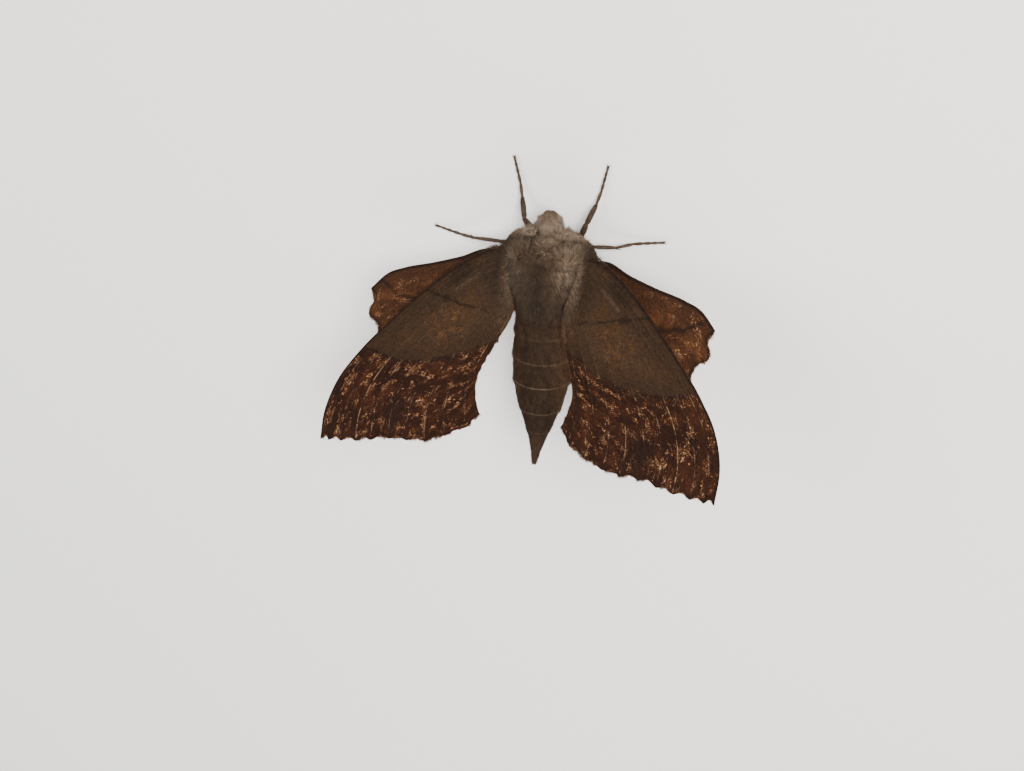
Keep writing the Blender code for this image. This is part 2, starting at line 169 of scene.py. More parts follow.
FULL_GIRTH = 3.4            # the half-breadth at which a ring's step has its full height
LEAST_GIRTH = 0.4           # the share of the body that is left under the coat where it is thin
SLOPE_STEP = 0.05
TAIL_TIP = -17.45
FACE_TIP = 12.05
SKIN_ROWS = 220
SKIN_SIDES = 72
SKIN_CAP = np.array((0.0, 0.06, 0.0))
SKIN_CAP_MAP = [(0.5, 0.99), (0.5, 0.01)]
SKIN_TONE = {"tip": 0.3, "tone": 0.35}
MAP_EDGE = 0.02


def unit(vectors):
    return vectors / np.maximum(np.linalg.norm(vectors, axis=-1, keepdims=True), 1e-9)


def read_table(table, places):
    """Read a table at many places along a smooth curve through its rows."""
    rows = np.array(sorted(table), dtype=float)
    keys, values = rows[:, 0], rows[:, 1:]
    places = np.clip(places, keys[0], keys[-1])
    slopes = np.gradient(values, keys, axis=0)
    index = np.clip(np.searchsorted(keys, places) - 1, 0, len(keys) - 2)
    span = (keys[index + 1] - keys[index])[:, None]
    t = (places[:, None] - keys[index][:, None]) / span
    return ((2 * t**3 - 3 * t**2 + 1) * values[index] + (t**3 - 2 * t**2 + t) * span * slopes[index]
            + (3 * t**2 - 2 * t**3) * values[index + 1] + (t**3 - t**2) * span * slopes[index + 1])


def girth_share(places):
    """How stout the body is at places along it, from 0 to 1 at its full girth."""
    return np.clip(read_table(TRUNK, places)[:, 0] / FULL_GIRTH, 0.0, 1.0)


def ring_step(places):
    """How far a ring of the abdomen stands over the next, at places along the body."""
    step = np.zeros_like(places)
    for start, end in zip([SEGMENT_START] + SEGMENT_ENDS[:-1], SEGMENT_ENDS):
        inside = (places <= start) & (places > end)
        step[inside] = SEGMENT_STEP * ((start - places[inside]) / (start - end) - 0.5)
        slope = (places <= end) & (places > end - SEGMENT_SLOPE)
        step[slope] = SEGMENT_STEP * (0.5 - (end - places[slope]) / SEGMENT_SLOPE)
    return step * girth_share(places)


def trunk_surface(places, turns):
    """Points and outward normals of the skin at places along the body and turns round it."""
    row = read_table(BODY, places)
    slope = (read_table(BODY, places + SLOPE_STEP) - read_table(BODY, places - SLOPE_STEP)) / (2 * SLOPE_STEP)
    inset = read_table(COAT_DEPTH, places)[:, 0] - ring_step(places)
    inset = np.minimum(inset, (1 - LEAST_GIRTH) * row[:, 0])
    wide, high = row[:, 0] - inset, row[:, 1] - inset
    across, up = np.cos(turns), np.sin(turns)
    points = np.stack([wide * across, places, row[:, 2] + high * up], axis=1)
    lean = across**2 * slope[:, 0] / wide + up**2 * slope[:, 1] / high + up * slope[:, 2] / high
    return points, unit(np.stack([across / wide, -lean, up / high], axis=1))


def in_map(share, span=1.0):
    """Where a share of a piece lies along a stretch of its unwrap, a little off the stretch's ends."""
    return MAP_EDGE + (span - 2 * MAP_EDGE) * share


def skin_map(places, turns):
    """Where a place on the skin lies on its unwrap, slit along the belly."""
    around = ((turns + math.pi / 2) % (2 * math.pi)) / (2 * math.pi)
    along = (places - TAIL_TIP) / (FACE_TIP - TAIL_TIP)
    return np.stack([in_map(around), in_map(along)], axis=1)


def mesh_piece(name, points, faces, finish, bake_map=None, values=None):
    """A smooth mesh object from points in millimetres and arrays of three- or four-cornered faces."""
    mesh = bpy.data.meshes.new(name)
    faces = [np.asarray(block, dtype=np.int32) for block in faces]
    loops = np.concatenate([block.ravel() for block in faces])
    sizes = np.concatenate([np.full(len(block), block.shape[1]) for block in faces])
    mesh.vertices.add(len(points))
    mesh.vertices.foreach_set("co", (np.asarray(points) * MM).astype(np.float32).ravel())
    mesh.loops.add(len(loops))
    mesh.loops.foreach_set("vertex_index", loops)
    mesh.polygons.add(len(sizes))
    starts = np.concatenate([[0], np.cumsum(sizes)[:-1]])
    mesh.polygons.foreach_set("loop_start", starts.astype(np.int32))
    mesh.update(calc_edges=True)
    mesh.shade_smooth()
    if bake_map is not None:
        layer = mesh.uv_layers.new(name="OFBake")
        layer.data.foreach_set("uv", np.asarray(bake_map)[loops].astype(np.float32).ravel())
    for key, value in (values or {}).items():
        value = np.asarray(value, dtype=np.float32)
        kind, entry = ("FLOAT", "value") if value.ndim < 2 else ("FLOAT_VECTOR", "vector")
        layer = mesh.attributes.new(key, kind, "POINT")
        layer.data.foreach_set(entry, value.ravel() if value.ndim else np.full(len(points), value))
    mesh.materials.append(finish)
    item = bpy.data.objects.new(name, mesh)
    bpy.context.scene.collection.objects.link(item)
    return item


def place_piece(item, nodes=()):
    """Fix a piece to the moth, and hide the solids that it stands for."""
    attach(item, "root")
    if nodes:
        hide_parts(*nodes)


def tube_faces(rows, sides):
    """Faces of a closed tube of rings, whose last two points close its ends."""
    ring = np.arange(sides)
    following = (ring + 1) % sides
    walls = np.concatenate([np.stack([row * sides + ring, row * sides + following,
                                      (row + 1) * sides + following, (row + 1) * sides + ring], axis=1)
                            for row in range(rows - 1)])
    last = (rows - 1) * sides
    start, end = rows * sides, rows * sides + 1
    caps = np.concatenate([np.stack([following, ring, np.full(sides, start)], axis=1),
                           np.stack([last + ring, last + following, np.full(sides, end)], axis=1)])
    return walls, caps


# Colours of the coat, linear: a mean of the photograph's lit and shaded sides
ROOT_BROWN = (0.016, 0.009, 0.006, 1.0)
THORAX_GREY = (0.056, 0.0345, 0.0205, 1.0)
HAIR_CREAM = (0.34, 0.25, 0.175, 1.0)
BACK_STRIPE = (0.030, 0.019, 0.012, 1.0)
HEAD_TAN = (0.205, 0.150, 0.105, 1.0)
PALP_BROWN = (0.115, 0.072, 0.046, 1.0)
WING_ROOT = (0.030, 0.0175, 0.0100, 1.0)
ABDOMEN_BROWN = (0.038, 0.0198, 0.0096, 1.0)
ABDOMEN_SIDE = (0.094, 0.047, 0.023, 1.0)
TAIL_RUST = (0.042, 0.021, 0.012, 1.0)
RING_FRINGE = (0.24, 0.165, 0.105, 1.0)
RING_PALENESS = (0.10, 0.24, 0.42, 0.36, 0.10)
RING_FRINGE_AHEAD = 0.12
METRES_TO_MM = (1000.0, 1000.0, 1000.0)


def band(tree, value, start, end):
    """A smooth step from 0 at start to 1 at end."""
    return node_in(tree, "ShaderNodeMapRange", {"Value": value, "From Min": start, "From Max": end},
                   interpolation_type="SMOOTHSTEP").outputs["Result"]


def maths(tree, operation, *values):
    sockets = dict(enumerate(values))
    return node_in(tree, "ShaderNodeMath", sockets, operation=operation).outputs["Value"]


def scaled(tree, value, gain, base):
    """A value times a gain, on top of a base."""
    return maths(tree, "MULTIPLY_ADD", value, gain, base)


def times(tree, first, *others):
    """The product of two or more values."""
    for other in others:
        first = maths(tree, "MULTIPLY", first, other)
    return first


def most(tree, first, *others):
    """The greatest of two or more values."""
    for other in others:
        first = maths(tree, "MAXIMUM", first, other)
    return first


def blend(tree, share, first, second):
    """The second colour over the first where share is 1."""
    node = node_in(tree, "ShaderNodeMix", data_type="RGBA")
    for key, value in (("Factor_Float", share), ("A_Color", first), ("B_Color", second)):
        socket = next(item for item in node.inputs if item.identifier == key)
        if isinstance(value, bpy.types.NodeSocket):
            tree.links.new(value, socket)
        else:
            socket.default_value = value
    return next(item for item in node.outputs if item.identifier == "Result_Color")


def layered(tree, colour, *layers):
    """Colours laid over one another, each with its mask and the share of it that shows."""
    for mask, share, over in layers:
        colour = blend(tree, times(tree, mask, share), colour, over)
    return colour


def toned(tree, colour, brightness):
    """A colour made lighter or darker by a factor."""
    return node_in(tree, "ShaderNodeHueSaturation", {"Color": colour, "Value": brightness}).outputs["Color"]


def stretched(tree, vector, scale):
    longer = node_in(tree, "ShaderNodeVectorMath", {0: vector, 1: scale}, operation="MULTIPLY")
    return longer.outputs["Vector"]


def place_in_mm(tree):
    """The place on the moth in millimetres."""
    return stretched(tree, node_in(tree, "ShaderNodeTexCoord").outputs["Object"], METRES_TO_MM)


def noise(tree, place, scale, detail=3.0, roughness=0.55):
    return node_in(tree, "ShaderNodeTexNoise", {"Vector": place, "Scale": scale, "Detail": detail,
                                                "Roughness": roughness}).outputs["Fac"]


def known(tree, key, output="Fac"):
    """A value that every point of the mesh carries."""
    return node_in(tree, "ShaderNodeAttribute", attribute_name=key).outputs[output]


def roughen(tree, shader, height, strength, depth):
    """Fine relief on a finish, as deep as so many millimetres where the pattern's height is 1."""
    bump = node_in(tree, "ShaderNodeBump", {"Height": height, "Strength": strength, "Distance": depth * MM})
    tree.links.new(bump.outputs["Normal"], shader.inputs["Normal"])


def new_group(name, inputs, outputs):
    """A node group with its sockets, and the nodes through which values enter and leave it."""
    group = bpy.data.node_groups.new(name, "ShaderNodeTree")
    for way, sockets in (("INPUT", inputs), ("OUTPUT", outputs)):
        for key, kind in sockets.items():
            group.interface.new_socket(key, in_out=way, socket_type="NodeSocket" + kind)
    return group, group.nodes.new("NodeGroupInput"), group.nodes.new("NodeGroupOutput")


def coat_markings():
    """A node group: the coat's colour at a place on the body, for root and tip of its hair."""
    group, entry, leave = new_group("coat_markings", {"Place": "Vector", "Tip": "Float", "Tone": "Float"},
                                    {"Colour": "Color"})
    place, tip, tone = [entry.outputs[key] for key in ("Place", "Tip", "Tone")]
    parts = node_in(group, "ShaderNodeSeparateXYZ", {"Vector": place})
    x, y = parts.outputs[0], parts.outputs[1]
    aside = maths(group, "ABSOLUTE", x)
    wander = maths(group, "SUBTRACT", noise(group, place, 0.55), 0.5)
    aside_wavy = scaled(group, wander, 1.6, aside)
    # Thorax: grey-brown, a darker stripe down the back, paler shoulders and collar, with painted light that
    # makes the pale tips stronger on the right side
    shoulders = times(group, band(group, aside_wavy, 1.2, 3.2), band(group, y, 2.0, 7.5), 0.80)
    collar = times(group, band(group, y, 7.9, 9.9), 0.85)
    # Painted light: the pale tips grow stronger from left to right, as if lit from the right
    painted_light_right = scaled(group, band(group, x, -2.5, 3.5), 0.55, 0.40)
    pale = times(group, most(group, shoulders, collar), painted_light_right, band(group, aside, 7.5, 4.5))
    pale_hairs = scaled(group, band(group, tone, 0.35, 0.80), 0.9, 0.1)
    pale_tips = times(group, pale, pale_hairs, band(group, tip, 0.10, 0.8))
    stripe = times(group, band(group, aside_wavy, 1.5, 0.3), band(group, y, 10.2, 8.6))
    thorax = layered(group, THORAX_GREY, (stripe, 0.75, BACK_STRIPE), (pale_tips, 1.0, HAIR_CREAM),
                     (band(group, aside, 3.8, 5.6), 1.0, WING_ROOT))
    # Abdomen: browner, warmer on its sides, a pale fringe on each ring's rear edge
    fringes = []
    for end, strength in zip(SEGMENT_ENDS, RING_PALENESS):
        away = maths(group, "ABSOLUTE", maths(group, "ADD", y, RING_FRINGE_AHEAD - end))
        fringes.append(times(group, band(group, away, 0.11, 0.03), strength))
    abdomen = layered(group, ABDOMEN_BROWN, (band(group, aside, 1.4, 3.6), 1.0, ABDOMEN_SIDE),
                      (band(group, y, -12.0, -16.5), 1.0, TAIL_RUST),
                      (most(group, *fringes), 1.0, RING_FRINGE))
    # The head and palps are tan; each hair is darker at its root, and no two locks are quite alike
    colour = blend(group, band(group, y, 2.4, -0.2), thorax, abdomen)
    colour = layered(group, colour, (band(group, y, 9.2, 11.2), 1.0, HEAD_TAN),
                     (band(group, y, 12.0, 12.7), 1.0, PALP_BROWN),
                     (band(group, tip, 0.5, 0.0), 0.65, ROOT_BROWN))
    brightness = times(group, scaled(group, tone, 1.1, 0.45),
                       scaled(group, noise(group, place, 1.4, 4.0), 0.6, 0.70))
    group.links.new(toned(group, colour, brightness), leave.inputs["Colour"])
    return group


COAT_MARKINGS = coat_markings()
SHEEN_TINT = (0.85, 0.78, 0.72, 1.0)


def coat_finish(name, roughness, relief, relief_depth):
    """The coat's material: its markings by place, its tips and tones by hair, and fine relief."""
    finish, tree, shader = new_finish(name, roughness, sheen=0.02, specular=0.08)
    shader.inputs["Sheen Tint"].default_value = SHEEN_TINT
    place = place_in_mm(tree)
    marks = node_in(tree, "ShaderNodeGroup", node_tree=COAT_MARKINGS)
    for key, value in (("Place", place), ("Tip", known(tree, "tip")), ("Tone", known(tree, "tone"))):
        tree.links.new(value, marks.inputs[key])
    tree.links.new(marks.outputs["Colour"], shader.inputs["Base Color"])
    roughen(tree, shader, noise(tree, place, relief, 4.0, 0.6), 0.6, relief_depth)
    return finish


skin_finish = coat_finish("body_skin_finish", 0.85, 9.0, 0.10)
skin_turns = -math.pi / 2 + 2 * math.pi * np.arange(SKIN_SIDES) / SKIN_SIDES
grid_places = np.repeat(np.linspace(FACE_TIP, TAIL_TIP, SKIN_ROWS), SKIN_SIDES)
grid_turns = np.tile(skin_turns, SKIN_ROWS)
skin_points = trunk_surface(grid_places, grid_turns)[0]
ends = [skin_points[:SKIN_SIDES].mean(0) + SKIN_CAP, skin_points[-SKIN_SIDES:].mean(0) - SKIN_CAP]
skin_uv = np.concatenate([skin_map(grid_places, grid_turns), SKIN_CAP_MAP])
body_skin = mesh_piece("body_skin", np.concatenate([skin_points, ends]), tube_faces(SKIN_ROWS, SKIN_SIDES),
                       skin_finish, skin_uv, SKIN_TONE)
place_piece(body_skin, ("head", "thorax", "abdomen"))


# The wings: a thin membrane clad in scales, held out by veins that stand up as ridges, with
# the sheet sagging a little between them; the forewing lies over the hindwing
SIDES = ((-1, "left"), (1, "right"))
WING_SLOPE = math.radians(36.0)
WING_DIHEDRAL = math.radians(6.37)
WING_LEVEL = 13.1
ROOT_DROP = 1.5
ROOT_DROP_AT = 3.6
ROOT_DROP_REACH = 2.4
TIP_DROOP = 1.0
TIP_DROOP_FROM = 12.0
ARCH_DEPTH = 0.5
ARCH_REACH = 7.0
ARCH_CROWN = -2.0
ARCH_FRONT = 4.0
WING_AXIS = (0.76, -0.65)
WING_AXIS_AT = (5.0, 5.0)
HINDWING_BELOW = 1.35
MEMBRANE_UNDER = 0.12       # the membrane's middle lies this far under the solid's upper face
MEMBRANE = 0.11
VEIN_RISE = 0.10
VEIN_WIDTH = 0.17
FRONT_RIB_WIDTH = 0.28
PALE_VEIN_WIDTH = 0.07
PLEAT = 0.10
RIPPLE = 0.035
CELL_END = 0.46
CELL_BOW = 0.035
CELL_RIB_WIDTH = 0.13
GRAIN_APART = 7.0           # keeps the worn spots of the left and right wings unlike
ROOT_SINK = 1.5             # the wing's root runs this far into the coat of the thorax

# Each wing in plan: its edges from root to tip, and for every vein its share of the breadth at
# the tip and at the root and the share of the length at which it starts
FOREWING = {
    "below": 0.0,
    "root": (8.2, 2.3),
    "front": [(6.9, 8.25), (8.8, 7.5), (11.4, 5.9), (14.7, 3.25), (17.85, 0.4), (20.8, -2.6), (22.9, -5.5),
              (23.95, -8.7)],
    "apex": (23.88, -11.5),
    "outer": [(21.1, -11.3), (18.3, -10.95), (15.6, -10.5), (12.9, -10.5), (10.3, -10.4), (7.9, -9.7),
              (6.3, -9.2)],
    "heel": (5.05, -7.9),
    "rear": [(5.65, -6.3), (5.93, -4.7), (5.3, -2.6), (4.3, -0.75), (3.4, 0.8)],
    "veins": [(0.06, 0.10, 0.0), (0.14, 0.17, 0.0), (0.24, 0.24, 0.0), (0.34, 0.34, CELL_END),
              (0.45, 0.45, CELL_END), (0.56, 0.56, CELL_END), (0.67, 0.64, 0.0), (0.79, 0.72, 0.0),
              (0.92, 0.88, 0.0)],
    "cell": (0.24, 0.67),
    "pale_vein": 2,
    "notch": 0.010,
    "grid": (190, 150),
}
HINDWING = {
    "below": HINDWING_BELOW,
    "root": (7.0, 2.0),
    "front": [(6.1, 7.7), (7.3, 7.9), (10.4, 7.05), (13.7, 6.3), (17.05, 5.6), (19.1, 4.9)],
    "apex": (21.0, 3.25),
    "outer": [(20.5, 2.1), (20.85, 0.9), (19.5, -0.6), (18.6, -2.5), (15.8, -3.45), (12.5, -3.4),
              (9.4, -2.75)],
    "heel": (6.9, -2.1),
    "rear": [(5.5, -1.4), (4.4, 0.3)],
    "veins": [(0.15, 0.20, 0.0), (0.31, 0.36, CELL_END), (0.45, 0.50, CELL_END), (0.58, 0.62, CELL_END),
              (0.72, 0.72, 0.0), (0.87, 0.86, 0.0)],
    "cell": (0.15, 0.72),
    "pale_vein": 2,
    "notch": 0.013,
    "grid": (130, 110),
}


def ease(value, start, end):
    t = np.clip((np.asarray(value, dtype=float) - start) / (end - start), 0.0, 1.0)
    return t * t * (3 - 2 * t)


def wing_height(x, y, below):
    """Height of the solid wing's upper face over points of the plan."""
    rise = WING_LEVEL - y * math.tan(WING_SLOPE) + x * math.tan(WING_DIHEDRAL)
    drop = ROOT_DROP * np.exp(-(x - ROOT_DROP_AT) / ROOT_DROP_REACH)
    droop = TIP_DROOP * np.maximum(0.0, (x - TIP_DROOP_FROM) / TIP_DROOP_FROM) ** 2
    across = (y - WING_AXIS_AT[1]) * WING_AXIS[0] - (x - WING_AXIS_AT[0]) * WING_AXIS[1]
    arch = ARCH_DEPTH * ((np.minimum(across, ARCH_FRONT) - ARCH_CROWN) / ARCH_REACH) ** 2
    return rise - drop - droop - arch - below


def smooth_curve(points, count=161):
    """Evenly spaced points along a smooth curve through a few given ones."""
    points = np.array(points, dtype=float)
    run = np.concatenate([[0.0], np.cumsum(np.linalg.norm(np.diff(points, axis=0), axis=1))])
    return read_table(np.column_stack([run, points]).tolist(), np.linspace(0, run[-1], count))


def along_curve(curve, share):
    place = np.clip(share, 0.0, 1.0) * (len(curve) - 1)
    low = np.minimum(place.astype(int), len(curve) - 2)
    return curve[low] + (curve[low + 1] - curve[low]) * (place - low)[..., None]


class WingPlan:
    """The plan of a wing: from a share of its length and a share of its breadth to a point."""

    def __init__(self, plan):
        self.plan = plan
        front_y, rear_y = plan["root"]
        front_root = (self.root_x(front_y), front_y)
        rear_root = (self.root_x(rear_y), rear_y)
        self.front = smooth_curve([front_root] + plan["front"] + [plan["apex"]])
        self.outer = smooth_curve([plan["apex"]] + plan["outer"] + [plan["heel"]])
        self.rear = smooth_curve([rear_root] + plan["rear"][::-1] + [plan["heel"]])
        self.shares = [0.0] + [vein[0] for vein in plan["veins"]] + [1.0]
        self.root_shares = [0.0] + [vein[1] for vein in plan["veins"]] + [1.0]

    def root_x(self, y):
        return read_table(TRUNK, np.array([y]))[0, 0] + 0.3 - ROOT_SINK

    def spread(self, length, share):
        """Veins crowd together at the root, so the breadth's share shifts along the length."""
        free = ease(length, 0.0, 0.6)
        return free * share + (1 - free) * np.interp(share, self.shares, self.root_shares)

    def sag(self, share):
        """How far between two veins a share lies: 0 on a vein, 1 half way to the next."""
        edges = np.array(self.shares)
        index = np.clip(np.searchsorted(edges, share, side="right") - 1, 0, len(edges) - 2)
        return np.sin(math.pi * (share - edges[index]) / (edges[index + 1] - edges[index])) ** 2

    def plan_point(self, length, share):
        length, share = np.broadcast_arrays(np.asarray(length, float), np.asarray(share, float))
        u = length * (1 - self.plan["notch"] * self.sag(share) * length)
        v = self.spread(u, share)
        front_y, rear_y = self.plan["root"]
        root_y = front_y + (rear_y - front_y) * v
        root_line = np.stack([np.interp(v, (0, 1), (self.front[0, 0], self.rear[0, 0])), root_y], axis=-1)
        u, v = u[..., None], v[..., None]
        sides = (1 - v) * along_curve(self.front, u[..., 0]) + v * along_curve(self.rear, u[..., 0])
        caps = (1 - u) * root_line + u * along_curve(self.outer, v[..., 0])
        corners = ((1 - u) * (1 - v) * self.front[0] + (1 - u) * v * self.rear[0]
                   + u * (1 - v) * self.front[-1] + u * v * self.rear[-1])
        return sides + caps - corners


def distance_to(points, line):
    """Distance of plan points from a line of a few points, positive on its left side."""
    best = np.full(len(points), 1e9)
    side = np.ones(len(points))
    for start, end in zip(line[:-1], line[1:]):
        start, end = np.array(start, float), np.array(end, float)
        step = end - start
        t = np.clip((points - start) @ step / (step @ step), 0, 1)
        gap = points - (start + t[:, None] * step)
        length = np.linalg.norm(gap, axis=1)
        nearer = length < best
        best = np.where(nearer, length, best)
        turn_side = step[0] * (points - start)[:, 1] - step[1] * (points - start)[:, 0]
        side = np.where(nearer, np.sign(turn_side), side)
    return best * side


# Lines across the wings, in plan, from the inner margin out to the front edge
WING_LINES = {
    "inner_line": [(2.9, 1.3), (5.0, 2.1), (6.3, 2.57), (8.6, 3.0), (10.7, 3.5), (12.5, 3.85), (14.5, 4.4)],
    # The outer line runs just inside the hindwing's edge beneath the forewing: partly the moth's own line and
    # partly painted shadow of that edge
    "outer_line_and_hind_edge_shade": [(3.6, -0.6), (4.7, -0.8), (6.2, -1.05), (7.8, -1.7), (10.2, -2.25), (12.0, -2.65),
                   (14.0, -2.85), (16.4, -2.7), (18.5, -2.4), (22.0, -1.9)],
    "root_line": [(3.4, 3.6), (4.4, 4.2), (6.25, 5.3), (7.6, 6.6)],
    "fold_line": [(5.2, 7.7), (5.83, 7.2), (7.8, 5.8), (10.0, 4.3)],
    "hind_line": [(13.2, 2.2), (15.8, 2.65), (17.5, 2.96), (19.25, 3.75), (20.6, 4.6)],
}
# Each spot in plan: its middle, and how fast the distance from it grows sideways and lengthways
WING_SPOTS = {
    "spot": ((15.0, -8.1), (1.0, 0.85)),
    "cell_spot": ((10.8, 3.5), (0.8, 1.3)),
    "warm": ((10.2, 0.8), (0.8, 1.0)),
}
BLOTCH_PLACE = (9.7, 5.85)
BLOTCH_LIE = np.array((-0.80, 0.60))
BLOTCH_SIZE = (2.0, 0.75)


def wing_map(length, share):
    """Where a place on a wing lies on its unwrap: the upper face has the left half."""
    return np.stack([in_map(share, 0.5), in_map(length)], axis=1)


def ridge_over(away, width):
    """Height from 0 to 1 of a rounded ridge, at distances from its crest."""
    return np.exp(-(away / width) ** 2)


def wing_sheet(name, plan, side, finish):
    """One wing: two faces a membrane apart, with ridges over the veins, closed round its edge."""
    shape = WingPlan(plan)
    rows, columns = plan["grid"]
    length = np.linspace(0, 1, rows) ** 0.9
    share = np.linspace(0, 1, columns)
    for vein in plan["veins"]:
        share[np.abs(share - vein[0]).argmin()] = vein[0]
    u, s = [grid.ravel() for grid in np.meshgrid(length, share, indexing="ij")]
    flat = shape.plan_point(u, s)
    x, y = flat[:, 0], flat[:, 1]
    reach = np.linalg.norm(shape.outer[0] - shape.front[0])
    chord = shape.plan_point(length, np.zeros(rows)) - shape.plan_point(length, np.ones(rows))
    breadth = np.repeat(np.linalg.norm(chord, axis=1), columns)
    # The veins, the short vein that closes the cell, and the rib of the front edge
    ridge = ridge_over(s * breadth, FRONT_RIB_WIDTH)
    for edge_share, _, start in plan["veins"]:
        vein = ridge_over((s - edge_share) * breadth, VEIN_WIDTH * (1.25 - 0.65 * u))
        ridge = np.maximum(ridge, vein * ease(u, start - 0.02, start + 0.02 if start else 0.0001))
    cell_low, cell_high = plan["cell"]
    cell_line = CELL_END - CELL_BOW * np.sin(math.pi * (s - cell_low) / (cell_high - cell_low))
    in_cell = (s > cell_low) & (s < cell_high)
    ridge = np.maximum(ridge, in_cell * ridge_over((u - cell_line) * reach, CELL_RIB_WIDTH))
    middle = wing_height(x, y, plan["below"]) - MEMBRANE_UNDER - PLEAT * shape.sag(s) * ease(u, 0.1, 0.5)
    middle += RIPPLE * np.sin(2.3 * x + 0.8 * y) * np.sin(1.1 * y - 0.7 * x + 1.0) * ease(u, 0.3, 0.8)
    half = 0.5 * MEMBRANE * (0.35 + 0.65 * np.minimum(ease(u, 1.0, 0.97), ease(s, 1.0, 0.985)))
    upper = np.stack([x * side, y, middle + half + VEIN_RISE * ridge], axis=1)
    lower = np.stack([x * side, y, middle - half - 0.7 * VEIN_RISE * ridge], axis=1)
    # Both faces, and the wall round the edge that joins them
    count = rows * columns
    index = np.arange(count).reshape(rows, columns)
    quads = np.stack([index[:-1, :-1], index[1:, :-1], index[1:, 1:], index[:-1, 1:]], axis=-1).reshape(-1, 4)
    rim = np.concatenate([index[:, 0], index[-1, 1:], index[-2::-1, -1], index[0, -2:0:-1]])
    rim_next = np.roll(rim, -1)
    walls = np.stack([rim, rim_next, rim_next + count, rim + count], axis=1)
    faces = [quads[:, ::-1], quads + count, walls]
    if side < 0:
        faces = [block[:, ::-1] for block in faces]
    # What the finish reads: veins, distances from the edges, the lines and the spots, and the face
    values = {
        "vein": ridge,
        "pale_vein": ridge_over((s - plan["veins"][plan["pale_vein"]][0]) * breadth, PALE_VEIN_WIDTH),
        "edge": (1 - u) * reach,
        "front": s * breadth,
        "rear": (1 - s) * breadth,
        "grain": np.stack([s * breadth, u * reach, np.full(count, GRAIN_APART * side)], axis=1),
    }
    for key, line in WING_LINES.items():
        values[key] = distance_to(flat, line)
    for key, (centre, growth) in WING_SPOTS.items():
        values[key] = np.linalg.norm((flat - centre) * growth, axis=1)
    offset = flat - BLOTCH_PLACE
    across_lie = np.array((-BLOTCH_LIE[1], BLOTCH_LIE[0]))
    values["blotch"] = np.hypot(offset @ BLOTCH_LIE / BLOTCH_SIZE[0], offset @ across_lie / BLOTCH_SIZE[1])
    doubled = {key: np.concatenate([value, value]) for key, value in values.items()}
    doubled["face"] = np.repeat((1.0, 0.0), count)
    bake = np.concatenate([wing_map(u, s), wing_map(u, s) + (0.5, 0.0)])
    return mesh_piece(name, np.concatenate([upper, lower]), faces, finish, bake, doubled)


# Colours of the wings' scales, linear
WING_GREY = (0.0255, 0.0143, 0.0078, 1.0)
WING_BROWN = (0.0290, 0.0147, 0.0069, 1.0)
WING_WARM = (0.060, 0.0260, 0.0105, 1.0)
WING_DARK = (0.009, 0.0052, 0.0032, 1.0)
OUTER_BROWN = (0.0125, 0.0043, 0.0020, 1.0)
OUTER_WARM = (0.033, 0.0108, 0.0041, 1.0)
WORN_TAN = (0.21, 0.078, 0.028, 1.0)
WORN_CREAM = (0.55, 0.33, 0.18, 1.0)
EDGE_DARK = (0.010, 0.0045, 0.003, 1.0)
HIND_AMBER = (0.055, 0.0210, 0.0083, 1.0)
HIND_BROWN = (0.027, 0.0110, 0.0050, 1.0)
UNDERSIDE = (0.090, 0.055, 0.034, 1.0)


def threads(tree, grain, scale, width):
    """Thin broken lines where a stretched noise crosses its middle value."""
    lines = noise(tree, stretched(tree, grain, scale), 1.0, 3.0, 0.65)
    away = maths(tree, "ABSOLUTE", maths(tree, "SUBTRACT", lines, 0.5))
    return band(tree, away, width, 0.2 * width)


def cells_of(tree, place, size):
    """The cells of a Voronoi pattern: the distance from their middles, and a number for each."""
    cells = node_in(tree, "ShaderNodeTexVoronoi", {"Vector": stretched(tree, place, size), "Scale": 1.0})
    split = node_in(tree, "ShaderNodeSeparateColor", {"Color": cells.outputs["Color"]})
    return cells.outputs["Distance"], split.outputs["Red"]


def specks(tree, place, size, density, reach):
    """Separate dashes in the cells of a pattern, as many of the cells as density says."""
    distance, chance = cells_of(tree, place, size)
    limit = maths(tree, "SUBTRACT", 1.0, density)
    chosen = band(tree, chance, limit, maths(tree, "ADD", limit, 0.04))
    return times(tree, chosen, band(tree, distance, reach, 0.5 * reach))


def wing_flecks():
    """A node group: where scales are worn off or pale, in dashes, dots and a few curled threads."""
    group, entry, leave = new_group("worn_scales", {"Grain": "Vector", "Amount": "Float"},
                                    {"Wear": "Float", "Patches": "Float", "Clumps": "Float"})
    grain = entry.outputs["Grain"]
    patches = noise(group, stretched(group, grain, (0.50, 0.32, 1.0)), 1.0, 3.0, 0.6)
    clumps = noise(group, stretched(group, grain, (1.1, 0.55, 1.0)), 1.0, 3.0, 0.6)
    swirl = node_in(group, "ShaderNodeTexNoise", {"Vector": grain, "Scale": 1.5, "Detail": 3.0})
    swirl = stretched(group, swirl.outputs["Color"], (2.2, 2.2, 0.0))
    bent = node_in(group, "ShaderNodeVectorMath", {0: grain, 1: swirl}, operation="ADD").outputs["Vector"]
    crowd = scaled(group, band(group, clumps, 0.46, 0.68), 0.42, 0.035)
    dashes = specks(group, bent, (8.6, 2.7, 1.0), crowd, 0.40)
    dots = specks(group, bent, (12.0, 8.0, 1.0), crowd, 0.46)
    curls = times(group, threads(group, grain, (3.6, 2.6, 1.0), 0.010), band(group, clumps, 0.53, 0.62))
    wear = times(group, most(group, dashes, times(group, dots, 0.6), curls), entry.outputs["Amount"])
    for key, value in (("Wear", wear), ("Patches", patches), ("Clumps", clumps)):
        group.links.new(value, leave.inputs[key])
    return group


def scale_rows():
    """A node group: the fine shingle of scales that covers a wing, as height and shade."""
    group, entry, leave = new_group("scale_rows", {"Grain": "Vector"}, {"Height": "Float", "Shade": "Float"})
    distance, shade = cells_of(group, entry.outputs["Grain"], (9.0, 4.6, 1.0))
    group.links.new(maths(group, "SUBTRACT", 1.0, distance), leave.inputs["Height"])
    group.links.new(shade, leave.inputs["Shade"])
    return group


WORN_SCALES = wing_flecks()
SCALE_ROWS = scale_rows()


